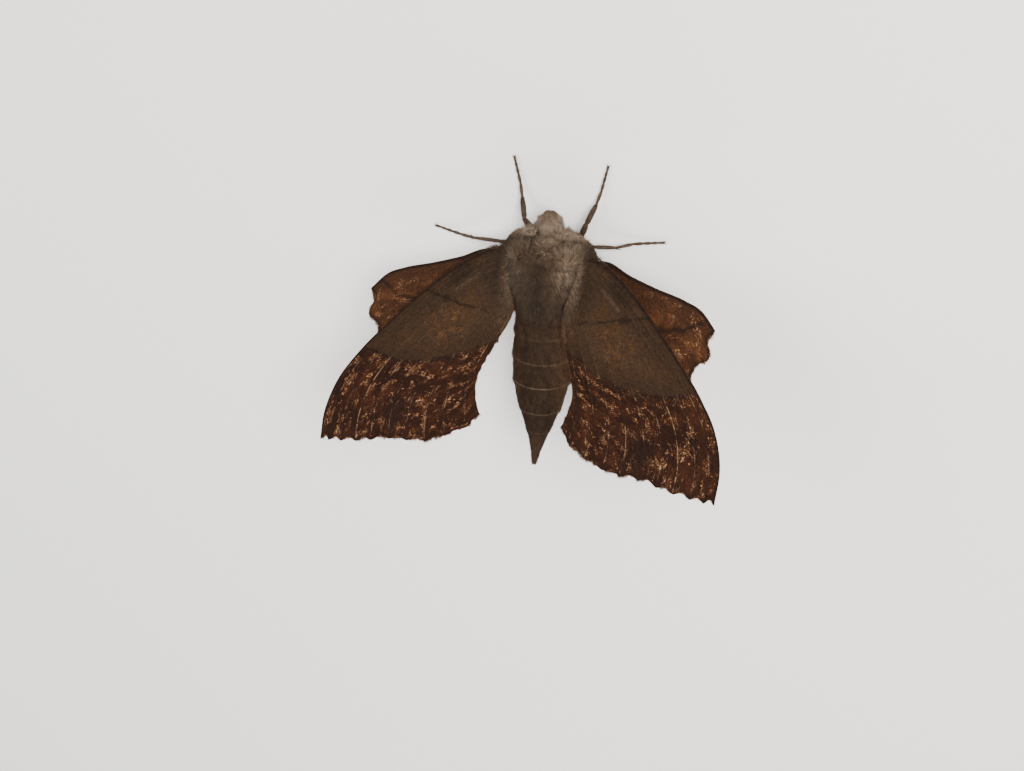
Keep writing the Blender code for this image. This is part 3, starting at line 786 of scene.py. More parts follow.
def forewing_colour(tree, place, wander, flecks):
    """A grey-brown inner part crossed by thin dark lines, and a rusty outer third, rubbed and flecked; both
    are partly the moth's own colours, partly painted shade where the hindwing lies under the inner part and
    painted light shining through the single layer of the outer third.
    """
    breaks = band(tree, noise(tree, place, 0.8, 2.0), 0.30, 0.50)
    fine = noise(tree, place, 6.0, 4.0, 0.75)
    broad = noise(tree, stretched(tree, known(tree, "grain", "Vector"), (0.35, 0.35, 0.0)), 1.0, 3.0)
    patches = flecks.outputs["Patches"]

    def line(key, width, soft):
        away = maths(tree, "ABSOLUTE", scaled(tree, wander, 0.6, known(tree, key)))
        return times(tree, band(tree, away, width + soft, width), breaks)

    # The inner part: two browns, warm in its middle, dusky to the front and to the outer line, where the dusk
    # is partly painted shade of the hindwing beneath
    warm = times(tree, band(tree, maths(tree, "ADD", known(tree, "warm"), wander), 3.0, 0.4),
                 band(tree, noise(tree, place, 1.3, 4.0, 0.65), 0.45, 0.60))
    dusk = most(tree, band(tree, known(tree, "front"), 4.0, 0.8),
                band(tree, known(tree, "outer_line_and_hind_edge_shade"), 2.6, 0.3))
    fold = times(tree, band(tree, maths(tree, "ABSOLUTE", known(tree, "fold_line")), 0.22, 0.03),
                 band(tree, fine, 0.35, 0.60))
    inner = blend(tree, band(tree, broad, 0.40, 0.62), WING_GREY, WING_BROWN)
    inner = layered(tree, inner, (warm, 0.42, WING_WARM), (dusk, 0.36, WING_DARK),
                    (band(tree, fine, 0.50, 0.66), 0.40, WING_DARK),
                    (band(tree, known(tree, "blotch"), 1.25, 0.55), 0.6, WING_DARK), (fold, 0.06, HAIR_CREAM),
                    (line("inner_line", 0.03, 0.16), 0.80, WING_DARK),
                    (line("root_line", 0.05, 0.30), 0.5, WING_DARK),
                    (band(tree, known(tree, "cell_spot"), 0.75, 0.25), 0.6, WING_DARK))
    # The outer third: rust in patches, with one dark spot; the rust is partly painted light shining through
    # the single layer beyond the hindwing's edge
    outer = band(tree, maths(tree, "ADD", known(tree, "outer_line_and_hind_edge_shade"), wander), 0.45, -0.55)
    spot = times(tree, band(tree, maths(tree, "ADD", known(tree, "spot"), wander), 1.9, 0.7), 0.85)
    field = blend(tree, band(tree, patches, 0.40, 0.74), OUTER_BROWN, OUTER_WARM)
    field = layered(tree, field, (band(tree, fine, 0.46, 0.60), 0.60, EDGE_DARK), (spot, 1.0, EDGE_DARK))
    # Rubbed veins show pale here and there in the outer third, beside a dark edge
    beside = times(tree, band(tree, known(tree, "vein"), 0.10, 0.45), outer)
    rib = band(tree, known(tree, "vein"), 0.72, 0.97)
    short_rub = times(tree, rib, band(tree, flecks.outputs["Clumps"], 0.46, 0.58), 0.14)
    long_rub = times(tree, band(tree, known(tree, "pale_vein"), 0.35, 0.98),
                     band(tree, noise(tree, place, 1.7, 3.0, 0.7), 0.43, 0.56), 0.30)
    # The dark outer line is partly the moth's own line and partly painted shadow of the hindwing's edge
    # beneath
    colour = layered(tree, blend(tree, outer, inner, field),
                     (line("outer_line_and_hind_edge_shade", 0.04, 0.18), 0.90, EDGE_DARK), (beside, 0.45, EDGE_DARK),
                     (most(tree, short_rub, long_rub), outer, WORN_CREAM), (rib, 0.05, UNDERSIDE))
    # Worn scales: many in the outer third, few in the dark spot and along the rear edge
    calm = times(tree, maths(tree, "SUBTRACT", 1.0, spot),
                 scaled(tree, band(tree, known(tree, "rear"), 0.3, 1.3), 0.75, 0.25))
    near = most(tree, outer, times(tree, band(tree, known(tree, "warm"), 3.0, 0.8), 0.16))
    tree.links.new(times(tree, near, calm), flecks.inputs["Amount"])
    return colour


def hindwing_colour(tree, place, wander, flecks):
    """Rust brown, darker to the front edge, with one dark line and a few worn flecks."""
    away = maths(tree, "ABSOLUTE", maths(tree, "ADD", known(tree, "hind_line"), wander))
    fine = noise(tree, place, 5.0, 4.0, 0.75)
    colour = blend(tree, band(tree, flecks.outputs["Patches"], 0.38, 0.58), HIND_AMBER, HIND_BROWN)
    colour = layered(tree, colour, (band(tree, known(tree, "front"), 2.4, 0.3), 1.0, HIND_BROWN),
                     (band(tree, fine, 0.48, 0.68), 0.55, EDGE_DARK),
                     (band(tree, away, 0.42, 0.06), 0.75, WING_DARK))
    outer = band(tree, known(tree, "edge"), 7.0, 2.0)
    tree.links.new(scaled(tree, outer, 0.55, 0.15), flecks.inputs["Amount"])
    return colour


def wing_finish(name, colour_of):
    """The finish of a wing: its own pattern, worn flecks, dark rims and a shingle of scales."""
    finish, tree, shader = new_finish(name, 0.80, specular=0.06)
    grain = known(tree, "grain", "Vector")
    place = place_in_mm(tree)
    wander = maths(tree, "SUBTRACT", noise(tree, place, 0.9, 3.0), 0.5)
    flecks = node_in(tree, "ShaderNodeGroup", node_tree=WORN_SCALES)
    scales = node_in(tree, "ShaderNodeGroup", node_tree=SCALE_ROWS)
    for patterns in (flecks, scales):
        tree.links.new(grain, patterns.inputs["Grain"])
    worn = blend(tree, band(tree, noise(tree, place, 4.5, 2.0), 0.48, 0.64), WORN_TAN, WORN_CREAM)
    rim = most(tree, band(tree, known(tree, "front"), 0.30, 0.08),
               times(tree, band(tree, known(tree, "edge"), 0.65, 0.10), 0.75))
    colour = layered(tree, colour_of(tree, place, wander, flecks), (flecks.outputs["Wear"], 1.0, worn),
                     (rim, 1.0, EDGE_DARK), (band(tree, known(tree, "face"), 0.6, 0.4), 0.55, UNDERSIDE))
    shade = scaled(tree, scales.outputs["Shade"], 0.6, 0.7)
    tree.links.new(toned(tree, colour, shade), shader.inputs["Base Color"])
    relief = maths(tree, "ADD", scales.outputs["Height"], noise(tree, place, 3.0, 4.0))
    roughen(tree, shader, relief, 0.55, 0.05)
    return finish


for kind, plan, colour_of in (("fore", FOREWING, forewing_colour), ("hind", HINDWING, hindwing_colour)):
    finish = wing_finish(kind + "wing_scales", colour_of)
    for side, word in SIDES:
        wing = wing_sheet("wing_" + kind + "_" + word, plan, side, finish)
        place_piece(wing, (kind + "wing_" + word,))


# The six legs: hip, thigh, shin with its spurs and a jointed tarsus that ends in two claws,
# each tube swept along the solid leg's own line so that the feet stand where the solids stand
LEG_GAP = 0.35
COXA_LENGTH = 0.55
HIP_SUNK = 0.6
FOOT_HEIGHT = 0.21
# Where each pair leaves the thorax, and each leg's knee, ankle and heel and the end of its foot
HIPS = {"foreleg": (2.60, 8.70), "midleg": (3.20, 6.70), "hindleg": (3.00, 3.60)}
LEGS = {
    "foreleg_left": [(-3.75, 10.55, 2.40), (-4.40, 12.60, 0.95), (-4.75, 14.30, 0.42), (-5.50, 17.55)],
    "foreleg_right": [(3.85, 10.55, 2.35), (4.75, 12.60, 1.05), (5.20, 14.00, 0.45), (6.00, 17.30)],
    "midleg_left": [(-6.35, 7.75, 3.35), (-10.90, 6.85, 1.35), (-13.00, 6.75, 0.50), (-16.35, 7.45)],
    "midleg_right": [(4.70, 7.60, 1.90), (7.30, 7.45, 1.15), (9.40, 7.90, 0.48), (13.00, 8.35)],
    "hindleg_left": [(-5.60, 1.90, 3.60), (-7.30, -1.90, 1.20), (-7.90, -3.90, 0.42), (-9.10, -7.00)],
    "hindleg_right": [(5.60, 1.90, 3.60), (7.30, -1.90, 1.20), (7.90, -3.90, 0.42), (9.10, -7.00)],
}
HIP_RADII = (0.42, 0.44, 0.40)
THIGH_RADII = (0.28, 0.38, 0.36, 0.28)
SHIN_RADII = np.array((0.26, 0.33, 0.34, 0.30, 0.24))
SHIN_STOUTNESS = {"foreleg": 0.95, "midleg": 0.75, "hindleg": 0.75}
TARSUS_SHARES = (0.36, 0.20, 0.16, 0.13, 0.15)
TARSUS_SWELL = np.array((0.72, 0.85, 1.0, 1.05, 0.7))
CLAW_LINE = ((-0.10, 0.06, 0.0), (0.06, 0.15, 0.05), (0.16, 0.20, 0.0), (0.17, 0.20, -0.12))
CLAW_RADII = (0.055, 0.045, 0.030, 0.008)
SPURS_AT = {"foreleg": (0.45,), "midleg": (0.97,), "hindleg": (0.60, 0.97)}
SPUR_RADII = (0.085, 0.06, 0.01)
TUBE_SIDES = 14


def round_about(ahead, turns):
    """Unit directions square to a line that runs ahead, at turns round it."""
    side_way = np.cross(ahead, (0.0, 0.0, 1.0))
    upright = np.linalg.norm(side_way, axis=-1, keepdims=True) < 1e-3
    side_way = unit(np.where(upright, (1.0, 0.0, 0.0), side_way))
    return np.cos(turns)[..., None] * side_way + np.sin(turns)[..., None] * np.cross(side_way, ahead)


def sweep(path, radii, sides=TUBE_SIDES):
    """Points and faces of a closed round tube along a path."""
    path, radii = np.asarray(path, float), np.asarray(radii, float)
    ahead = unit(np.gradient(path, axis=0))
    ring = round_about(ahead[:, None], 2 * math.pi * np.arange(sides) / sides)
    points = (path[:, None] + ring * radii[:, None, None]).reshape(-1, 3)
    return np.concatenate([points, path[:1], path[-1:]]), tube_faces(len(path), sides)


def join_parts(parts):
    """Several point and face arrays as one."""
    points, faces, count = [], [], 0
    for part_points, part_faces in parts:
        points.append(part_points)
        faces += [block + count for block in part_faces]
        count += len(part_points)
    return np.concatenate(points), faces


def jointed(start, end, radii, rows=10):
    """A straight joint of a leg with its own swelling from end to end."""
    share = np.linspace(0, 1, rows)
    path = start + (end - start) * share[:, None]
    return sweep(path, np.interp(share, np.linspace(0, 1, len(radii)), radii))


def leg_line(name):
    """The points of a leg, from its hip under the thorax to the tip of its foot."""
    pair, word = name.split("_")
    x, y = HIPS[pair]
    half_width, half_height, height = read_table(TRUNK, np.array([y]))[0]
    fall = half_height * math.sqrt(1 - (x / half_width) ** 2)
    out = unit(np.array([x / half_width**2, 0.0, -fall / half_height**2]))
    mirror = (-1 if word == "left" else 1, 1, 1)
    start = np.array([x, y, height - fall])
    hip = (start - out * HIP_SUNK) * mirror
    coxa = (start + out * (LEG_GAP + COXA_LENGTH)) * mirror
    knee, ankle, heel = [np.array(point) for point in LEGS[name][:3]]
    return hip, coxa, knee, ankle, heel, np.array((*LEGS[name][3], FOOT_HEIGHT))


def leg_mesh(name):
    hip, coxa, knee, ankle, heel, toe = leg_line(name)
    pair = name.split("_")[0]
    parts = [jointed(hip, coxa, HIP_RADII), jointed(coxa, knee, THIGH_RADII),
             jointed(knee, ankle, SHIN_RADII * SHIN_STOUTNESS[pair])]
    # Five tarsal joints, each a little wider at its far end and narrower than the one before
    line = np.array([ankle, 0.5 * (ankle + heel), heel, 0.75 * heel + 0.25 * toe, 0.5 * (heel + toe), toe])
    run = np.concatenate([[0.0], np.cumsum(np.linalg.norm(np.diff(line, axis=0), axis=1))])
    shares = np.cumsum([0.0, *TARSUS_SHARES]) * run[-1]
    marks = np.stack([np.interp(shares, run, line[:, axis]) for axis in range(3)], axis=1)
    for number, (start, end) in enumerate(zip(marks[:-1], marks[1:])):
        parts.append(jointed(start, end, (0.21 - 0.012 * number) * TARSUS_SWELL))
    # Two claws on the last joint, bent down at their ends, and the spurs of the shin
    ahead = unit(marks[-1] - marks[-2])
    aside = np.array([-ahead[1], ahead[0], 0.0])
    shin = ankle - knee
    across = unit(np.cross(shin, (0.0, 0.0, 1.0)))
    for sign in (-1, 1):
        claw = [marks[-1] + ahead * along + aside * sign * out + (0, 0, up) for along, out, up in CLAW_LINE]
        parts.append(sweep(claw, CLAW_RADII, 8))
        for share in SPURS_AT[pair]:
            base = knee + shin * share
            way = unit(shin) * 0.75 + across * sign * 0.30 + (0, 0, -0.12)
            parts.append(sweep([base, base + way * 0.5 + across * sign * 0.10, base + way], SPUR_RADII, 8))
    points, faces = join_parts(parts)
    points[:, 2] = np.maximum(points[:, 2], 0.0)
    return points, faces


LEG_BROWN = (0.030, 0.0165, 0.0095, 1.0)
LEG_PALE = (0.095, 0.058, 0.034, 1.0)


def leg_colours(tree, shader, relief):
    place = place_in_mm(tree)
    speckle = noise(tree, place, 5.0, 3.0, 0.7)
    colour = blend(tree, band(tree, speckle, 0.45, 0.68), LEG_BROWN, LEG_PALE)
    brightness = scaled(tree, known(tree, "tone"), 0.9, 0.6)
    tree.links.new(toned(tree, colour, brightness), shader.inputs["Base Color"])
    roughen(tree, shader, noise(tree, place, relief, 3.0), 0.5, 0.03)


leg_finish, tree, shader = new_finish("leg_scales", 0.62)
leg_colours(tree, shader, 14.0)
for name in LEGS:
    leg = mesh_piece("leg_" + name, *leg_mesh(name), leg_finish, None, {"tone": 0.45})
    place_piece(leg, (name,))


# The eyes: dark faceted globes set in the sides of the head, glossy under a fine grain
EYE_CENTRE = (1.05, 11.00, 4.60)
EYE_RADIUS = 0.68
EYE_BLACK = (0.014, 0.009, 0.007, 1.0)
EYE_BROWN = (0.055, 0.030, 0.018, 1.0)
FACETS_PER_MM = (22.0, 22.0, 22.0)


def mirrored(point, side):
    """A point of the right side, or its fellow on the left."""
    return np.array(point) * (side, 1, 1)


def on_ball(lines, turns):
    """Points of a unit ball whose poles point fore and aft."""
    return np.stack([np.sin(lines) * np.cos(turns), np.cos(lines), np.sin(lines) * np.sin(turns)], axis=1)


def tilted(points, tilt):
    """Points turned about the X axis, so that their front is raised."""
    x, y, z = np.moveaxis(np.asarray(points, float), -1, 0)
    level, steep = math.cos(tilt), math.sin(tilt)
    return np.stack([x, y * level - z * steep, y * steep + z * level], axis=-1)


def globe(centre, radii, rows, sides, tilt=0.0):
    """Points and faces of an ellipsoid whose poles point fore and aft, turned up by tilt."""
    lines = np.linspace(0.04, math.pi - 0.04, rows)
    turns = 2 * math.pi * np.arange(sides) / sides
    ball = on_ball(*[grid.ravel() for grid in np.meshgrid(lines, turns, indexing="ij")])
    ball = np.concatenate([ball, [(0, 1, 0), (0, -1, 0)]])
    return tilted(ball * radii, tilt) + centre, tube_faces(rows, sides)


eye_finish, tree, shader = new_finish("eye_facets", 0.22, specular=0.6)
shader.inputs["Coat Weight"].default_value = 0.35
shader.inputs["Coat Roughness"].default_value = 0.12
place = place_in_mm(tree)
colour = blend(tree, band(tree, noise(tree, place, 2.2), 0.4, 0.7), EYE_BLACK, EYE_BROWN)
tree.links.new(colour, shader.inputs["Base Color"])
roughen(tree, shader, cells_of(tree, place, FACETS_PER_MM)[0], 0.25, 0.01)
for side, word in SIDES:
    points, faces = globe(mirrored(EYE_CENTRE, side), (EYE_RADIUS,) * 3, 40, 48)
    eye = mesh_piece("eye_globe_" + word, points, faces, eye_finish)
    place_piece(eye, ("eye_" + word,))


# The palps: two short upturned feelers under the face, clad in scales that meet in a point
PALP_CENTRE = (0.58, 11.98, 3.90)
PALP_RADII = np.array((0.45, 0.92, 0.55))
PALP_TILT = math.radians(28)
PALP_COAT = 0.14
PALP_LEAN = 0.40
PALP_MAP = 0.985            # the core is all in one spot of the skin's unwrap, under its own hair


def lean_in(points, side):
    """Draw the front end of a palp in towards its fellow."""
    ahead = ((points[:, 1] - PALP_CENTRE[1]) * math.cos(PALP_TILT)
             + (points[:, 2] - PALP_CENTRE[2]) * math.sin(PALP_TILT)) / PALP_RADII[1]
    return points - np.outer(ease(ahead, -0.3, 1.0), (side * PALP_LEAN, 0.0, 0.0))


for side, word in SIDES:
    points, faces = globe(mirrored(PALP_CENTRE, side), PALP_RADII - PALP_COAT, 24, 24, PALP_TILT)
    palp = mesh_piece("palp_core_" + word, lean_in(points, side), faces, skin_finish,
                      np.full((len(points), 2), PALP_MAP), {"tip": 0.3, "tone": 0.4})
    place_piece(palp, ("palp_" + word,))


# The antennae: thick jointed threads that taper to a bent tip, tucked back under the wings'
# front edges; each joint is a short drum with its rear edge raised, speckled cream and tan
ANTENNA_PATH = [(1.38, 10.85, 5.98), (1.85, 10.90, 6.30), (2.65, 10.70, 5.95), (3.55, 10.05, 5.10),
                (4.75, 8.95, 4.50), (5.50, 7.30, 4.40), (5.70, 5.40, 4.60), (5.85, 3.60, 5.00),
                (5.95, 2.60, 5.30)]
ANTENNA_RADII = [0.27, 0.28, 0.32, 0.36, 0.39, 0.39, 0.36, 0.29, 0.25]
ANTENNA_SHARE = 0.78        # the thread's share of the solid's radius; its lashes fill the rest
ANTENNA_JOINTS = 52
ROWS_PER_JOINT = 4
ANTENNA_SUNK = 0.45
ANTENNA_CREAM = (0.110, 0.078, 0.054, 1.0)
ANTENNA_TAN = (0.040, 0.024, 0.015, 1.0)

antenna_finish, tree, shader = new_finish("antenna_scales", 0.6)
place = place_in_mm(tree)
speckle = band(tree, noise(tree, place, 7.0, 3.0, 0.6), 0.40, 0.62)
colour = blend(tree, speckle, ANTENNA_CREAM, ANTENNA_TAN)
tree.links.new(colour, shader.inputs["Base Color"])
roughen(tree, shader, noise(tree, place, 22.0), 0.4, 0.02)


def antenna_line(side, count):
    line = smooth_curve(np.column_stack([ANTENNA_PATH, ANTENNA_RADII]), count)
    line[:, 0] *= side
    return line[:, :3], line[:, 3]


for side, word in SIDES:
    rows = ANTENNA_JOINTS * ROWS_PER_JOINT + 1
    path, radii = antenna_line(side, rows)
    path = np.concatenate([[path[0] - unit(path[1] - path[0]) * ANTENNA_SUNK], path])
    swell = 1 + 0.14 * (np.arange(rows) % ROWS_PER_JOINT / (ROWS_PER_JOINT - 1) - 0.5)
    taper = ease(np.linspace(0, 1, rows), 1.02, 0.75) * 0.55 + 0.45
    radii = np.concatenate([[0.2], radii * ANTENNA_SHARE * swell * taper])
    antenna = mesh_piece("antenna_joints_" + word, *sweep(path, radii, 16), antenna_finish)
    place_piece(antenna, ("antenna_" + word,))


# The coat: slender solid tufts of hair and hair-like scales, each rooted in the skin and lying
# along the body; it is deepest on the thorax, short and flat on the abdomen, shortest on the face
# A tuft has seven corners, three at its root, three at its bend and one at its tip, or four if
# it is straight, and its patch of the unwrap is a few thousandths wide
TUFT_FACES = np.array([(0, 2, 1), (0, 1, 4), (0, 4, 3), (1, 2, 5), (1, 5, 4), (2, 0, 3), (2, 3, 5),
                       (3, 4, 6), (4, 5, 6), (5, 3, 6)])
TUFT_PATCH = 0.003
TUFT_MAP = np.array([(0, 0), (0.5, 0), (1, 0), (0.15, 0.5), (0.5, 0.5), (0.85, 0.5), (0.5, 1)])
TUFT_MAP = TUFT_PATCH * (TUFT_MAP - 0.5)
TUFT_TIP = np.array([0, 0, 0, 0.5, 0.5, 0.5, 1.0])
SPIKE_FACES = np.array([(0, 2, 1), (0, 1, 3), (1, 2, 3), (2, 0, 3)])
SPIKE_CORNERS = [0, 1, 2, 6]
TUFT_SUNK = 0.06
TUFT_FLATNESS = 0.45
LOCK_TABLE = 100003

thorax_coat = coat_finish("thorax_coat", 0.80, 16.0, 0.03)


def ripples(points, size, seed):
    """A smooth random field of about -1 to 1 whose swells are size across."""
    draw = np.random.default_rng(seed)
    total = np.zeros(len(points))
    for _ in range(6):
        wave = unit(draw.normal(size=3)) * 2 * math.pi / (size * draw.uniform(0.7, 1.5))
        total += np.sin(points @ wave + draw.uniform(0, 2 * math.pi))
    return total / 2.6


def grow_tufts(roots, normals, lies, length, width, lift, bend, draw):
    """The seven points of each tuft, from its root through one bend to its tip, or four if straight."""
    lies = unit(lies - normals * np.sum(lies * normals, axis=1, keepdims=True))
    lift = np.broadcast_to(lift, len(roots))
    late = lift - (bend or 0.0)
    first = lies * np.cos(lift)[:, None] + normals * np.sin(lift)[:, None]
    second = lies * np.cos(late)[:, None] + normals * np.sin(late)[:, None]
    length = np.broadcast_to(length, len(roots))[:, None]
    width = np.broadcast_to(width, len(roots))[:, None]
    base = roots - normals * TUFT_SUNK
    middle = roots + first * length * 0.5
    tip = middle + second * length * 0.5
    roll = draw.uniform(-0.7, 0.7, len(roots))[:, None]
    flat = unit(np.cross(first, normals))
    rise = np.cross(first, flat)
    across = flat * np.cos(roll) + rise * np.sin(roll)
    above = np.cross(first, across)
    ring = [across * 0.5, above * TUFT_FLATNESS, -across * 0.5]
    if bend is None:
        return np.stack([base + step * width for step in ring] + [roots + first * length], axis=1)
    points = [base + step * width for step in ring] + [middle + step * width * 0.8 for step in ring] + [tip]
    return np.stack(points, axis=1)


def coat_piece(name, tufts, places, tones, finish):
    """All tufts of one stretch of the coat as one mesh, each a small patch of the unwrap."""
    count, corners = tufts.shape[:2]
    straight = corners == len(SPIKE_CORNERS)
    shape, used = (SPIKE_FACES, SPIKE_CORNERS) if straight else (TUFT_FACES, slice(None))
    faces = (shape + corners * np.arange(count)[:, None, None]).reshape(-1, 3)
    bake = (places[:, None] + TUFT_MAP[used]).reshape(-1, 2)
    values = {"tip": np.tile(TUFT_TIP[used], count), "tone": np.repeat(tones, corners)}
    place_piece(mesh_piece(name, tufts.reshape(-1, 3), [faces], finish, bake, values))


def mixed_tones(draw, count, spread, middle=0.5):
    """How light each hair is, from 0 to 1."""
    return np.clip(middle + spread * draw.normal(size=count), 0, 1)


def scatter(count, low, high, first_turn, last_turn, draw):
    """Roots spread evenly over a stretch of the trunk between two turns round it."""
    trial = np.linspace(low, high, 200)
    girth = read_table(BODY, trial)[:, :2].mean(axis=1)
    share = np.cumsum(girth)
    places = np.interp(draw.uniform(0, share[-1], count), share, trial)
    turns = draw.uniform(first_turn, last_turn, count)
    points, normals = trunk_surface(places, turns)
    return places, turns, points, normals


def clear_of_wings(tufts):
    """Which tufts start and end on the same side of the wing that leaves the trunk beside them."""
    root, tip = tufts[:, 0], tufts[:, -1]
    level_root = wing_height(np.abs(root[:, 0]), root[:, 1], 0.0)
    level_tip = wing_height(np.abs(tip[:, 0]), tip[:, 1], 0.0)
    beside = (tip[:, 1] > -1.0) & (tip[:, 1] < 8.6) & (np.abs(tip[:, 0]) > 3.0)
    from_below = (root[:, 2] < level_root) & (tip[:, 2] > level_tip - 0.35)
    return ~(beside & from_below)


def clear_of_eyes(tufts):
    """Which tufts are rooted outside the globes of the eyes and don't run into them."""
    keep = np.ones(len(tufts), bool)
    for side, _ in SIDES:
        for corner in (0, -1):
            away = np.linalg.norm(tufts[:, corner] - mirrored(EYE_CENTRE, side), axis=1)
            keep &= away > EYE_RADIUS + 0.02
    return keep


def locks(points, size, seed):
    """A random number from -1 to 1 shared by the hairs of one lock, and the way to its middle."""
    cells = np.floor(points / size)
    key = (cells @ np.array((73856093.0, 19349663.0, 83492791.0))).astype(np.int64) % LOCK_TABLE
    return np.random.default_rng(seed).uniform(-1, 1, LOCK_TABLE)[key], (cells + 0.5) * size - points


UP_BACK = np.radians((-12, 192))
DOWN_FRONT = np.radians((192, 348))
ALL_ROUND = np.radians((-90, 270))
# Stretches of the coat: how many tufts, from where to where along the body and round it, and the
# length and width of one
COAT_STRETCHES = {
    "coat_thorax_back": (46000, (10.00, 4.8), UP_BACK, 0.72, 0.056),
    "coat_thorax_waist": (31000, (5.1, 0.4), UP_BACK, 0.84, 0.062),
    "coat_breast": (10000, (9.75, 0.6), DOWN_FRONT, 1.20, 0.105),
    "coat_ruff": (34000, (9.95, 7.6), ALL_ROUND, 1.18, 0.056),
    "coat_abdomen_back": (34000, (1.0, -7.2), UP_BACK, 0.66, 0.085),
    "coat_abdomen_rear": (25000, (-7.0, -17.2), UP_BACK, 0.62, 0.080),
    "coat_belly": (24000, (0.9, -17.2), DOWN_FRONT, 0.72, 0.100),
    "coat_head": (32000, (12.00, 9.60), ALL_ROUND, 0.62, 0.046),
}
for number, (name, (count, (high, low), (first, last), long, wide)) in enumerate(COAT_STRETCHES.items()):
    draw = np.random.default_rng(100 + number)
    places, turns, roots, normals = scatter(count, low, high, first, last, draw)
    right_or_left = np.sign(np.cos(turns))
    above = np.sin(turns)
    flank = np.abs(np.cos(turns))
    aside = np.stack([np.abs(above) * right_or_left, np.zeros(count), -flank * np.sign(above)], axis=1)
    back = np.tile((0.0, -1.0, 0.0), (count, 1))
    yaw = 0.30 * ripples(roots, 1.1, 40) + 0.24 * draw.normal(size=count)
    lift = np.radians(15 + 9 * ripples(roots, 0.9, 41) + 6 * draw.normal(size=count))
    fan, bend, lock_size, wanted = np.zeros(count), None, 0.34, np.ones(count, bool)
    if "ruff" in name:
        # Stands off the front of the thorax and its flanks, outwards over the antennae's roots
        off_middle = ease(np.abs(roots[:, 0]), 0.2, 1.8)
        forward = ease(places, 8.9, 9.6)
        fan = 1.1 * off_middle * forward + 0.3 * yaw
        back = back * (1 - off_middle * (1.55 + 0.25 * forward))[:, None]
        lift = lift + math.radians(6) + math.radians(30) * off_middle
        length = long * (1 - 0.30 * ease(above, -0.5, -0.95)) * (1 - 0.35 * ease(above, 0.5, 0.95))
        length = length * (1 + 0.30 * forward * ease(above, 0.6, 0.3))
        wanted = ((places > 8.5) | (np.abs(above) < 0.75)) & ((above < 0) | (np.abs(roots[:, 0]) > 1.7))
    elif "thorax" in name:
        fan = 0.75 * ease(np.abs(roots[:, 0]), 0.6, 3.6) * ease(places, 2.0, 7.5)
        lift = lift * 0.9 + math.radians(6) * (1 - ease(places, 8.6, 9.4))
        length = long * (1 - 0.25 * ease(places, 8.8, 9.6))
        lock_size = 0.26
    elif "breast" in name:
        lift = lift + math.radians(11)
        length = long
        bend = math.radians(14)
    elif "head" in name:
        # Back over the nape, outwards over the eyes, forward on the face and drawn in to the palps
        face = ease(places, 11.4, 11.9)
        back = back * (1 - 1.9 * ease(places, 10.5, 11.4))[:, None]
        lower = ease(above, 0.30, -0.20) * (1 - face)
        fan = ease(np.abs(roots[:, 0]), 0.1, 0.7) * (1.2 - 1.4 * face) + 0.8 * lower
        lift = lift + math.radians(3) + math.radians(8) * ease(above, -0.3, 0.5) * (1 - face)
        lift = lift + math.radians(34) * face * ease(above, -0.9, -0.3) + math.radians(14) * lower
        length = long * (1 + 0.25 * ease(places, 10.6, 10.0)) * (1 + 0.50 * lower) * (1 - 0.15 * face)
        lock_size = 0.20
    else:
        # Lies flat on the abdomen, a little raised where each ring ends
        ring_end = np.min(np.abs(places[:, None] - np.array(SEGMENT_ENDS) - 0.15), axis=1)
        lift = 0.30 * lift + np.radians(4 + 5 * ease(ring_end, 0.5, 0.1) * girth_share(places))
        length = long * (1 - 0.35 * ease(places, -12.0, -15.5))
        length = np.minimum(length, np.maximum(places - TAIL_TIP + 0.35, 0.15))
    shared, inward = locks(roots, lock_size, 50 + number)
    lies = back + aside * (fan + yaw + 0.18 * shared)[:, None] + 0.5 * inward
    if "head" in name:
        # Brows arch over the globes of the eyes
        to_eye = right_or_left[:, None] * (EYE_CENTRE[0], 0, 0) + (0, *EYE_CENTRE[1:]) - roots
        brow = ease(np.linalg.norm(to_eye, axis=1), 1.6, 1.0) * ease(above, -0.1, 0.4)
        lies = lies * (1 - brow)[:, None] + unit(to_eye) * brow[:, None]
        lift = lift + 0.30 * brow
    length = length * draw.uniform(0.6, 1.25, count) * (1 + 0.12 * ripples(roots, 1.6, 42) + 0.10 * shared)
    width = wide * draw.uniform(0.7, 1.3, count)
    tufts = grow_tufts(roots, normals, lies, length, width, np.maximum(lift, 0.03), bend, draw)
    keep = clear_of_eyes(tufts) & clear_of_wings(tufts) & wanted
    tones = 0.5 + 0.28 * draw.normal(size=count) + 0.10 * ripples(roots, 0.7, 43) + 0.06 * shared
    maps = skin_map(places, turns)
    coat_piece(name, tufts[keep], maps[keep], np.clip(tones, 0, 1)[keep], thorax_coat)


# The fringe on the rear edge of each ring of the abdomen, and the side brushes and tail brush:
# longer hairs that stand a little proud of the flat scales
FRINGE_PER_GIRTH = 2100 / 3.8
TAIL_HAIRS = 900
TAIL_BRUSH_FROM = -16.2

draw = np.random.default_rng(120)
stretches = []
for end in SEGMENT_ENDS:
    count = int(FRINGE_PER_GIRTH * read_table(TRUNK, np.array([end]))[0, 0])
    turns = draw.uniform(0, 2 * math.pi, count)
    girth = girth_share(np.array([end]))[0]
    side_brush = ridge_over(np.abs(np.cos(turns)) - 1.0, 0.12) * (end < -6) * girth
    places = end + draw.uniform(-0.02, 0.22, count)
    long = draw.uniform(0.30, 0.55, count) + 0.35 * side_brush
    lift = np.radians(5 * girth + 14 * side_brush + 3 * draw.normal(size=count))
    stretches.append((places, turns, long, lift))
places = draw.uniform(TAIL_TIP, TAIL_BRUSH_FROM, TAIL_HAIRS)
turns = draw.uniform(0, 2 * math.pi, TAIL_HAIRS)
stretches.append((places, turns, draw.uniform(0.5, 1.0, TAIL_HAIRS), np.full(TAIL_HAIRS, math.radians(5))))
places, turns, long, lift = [np.concatenate(column) for column in zip(*stretches)]
roots, normals = trunk_surface(places, turns)
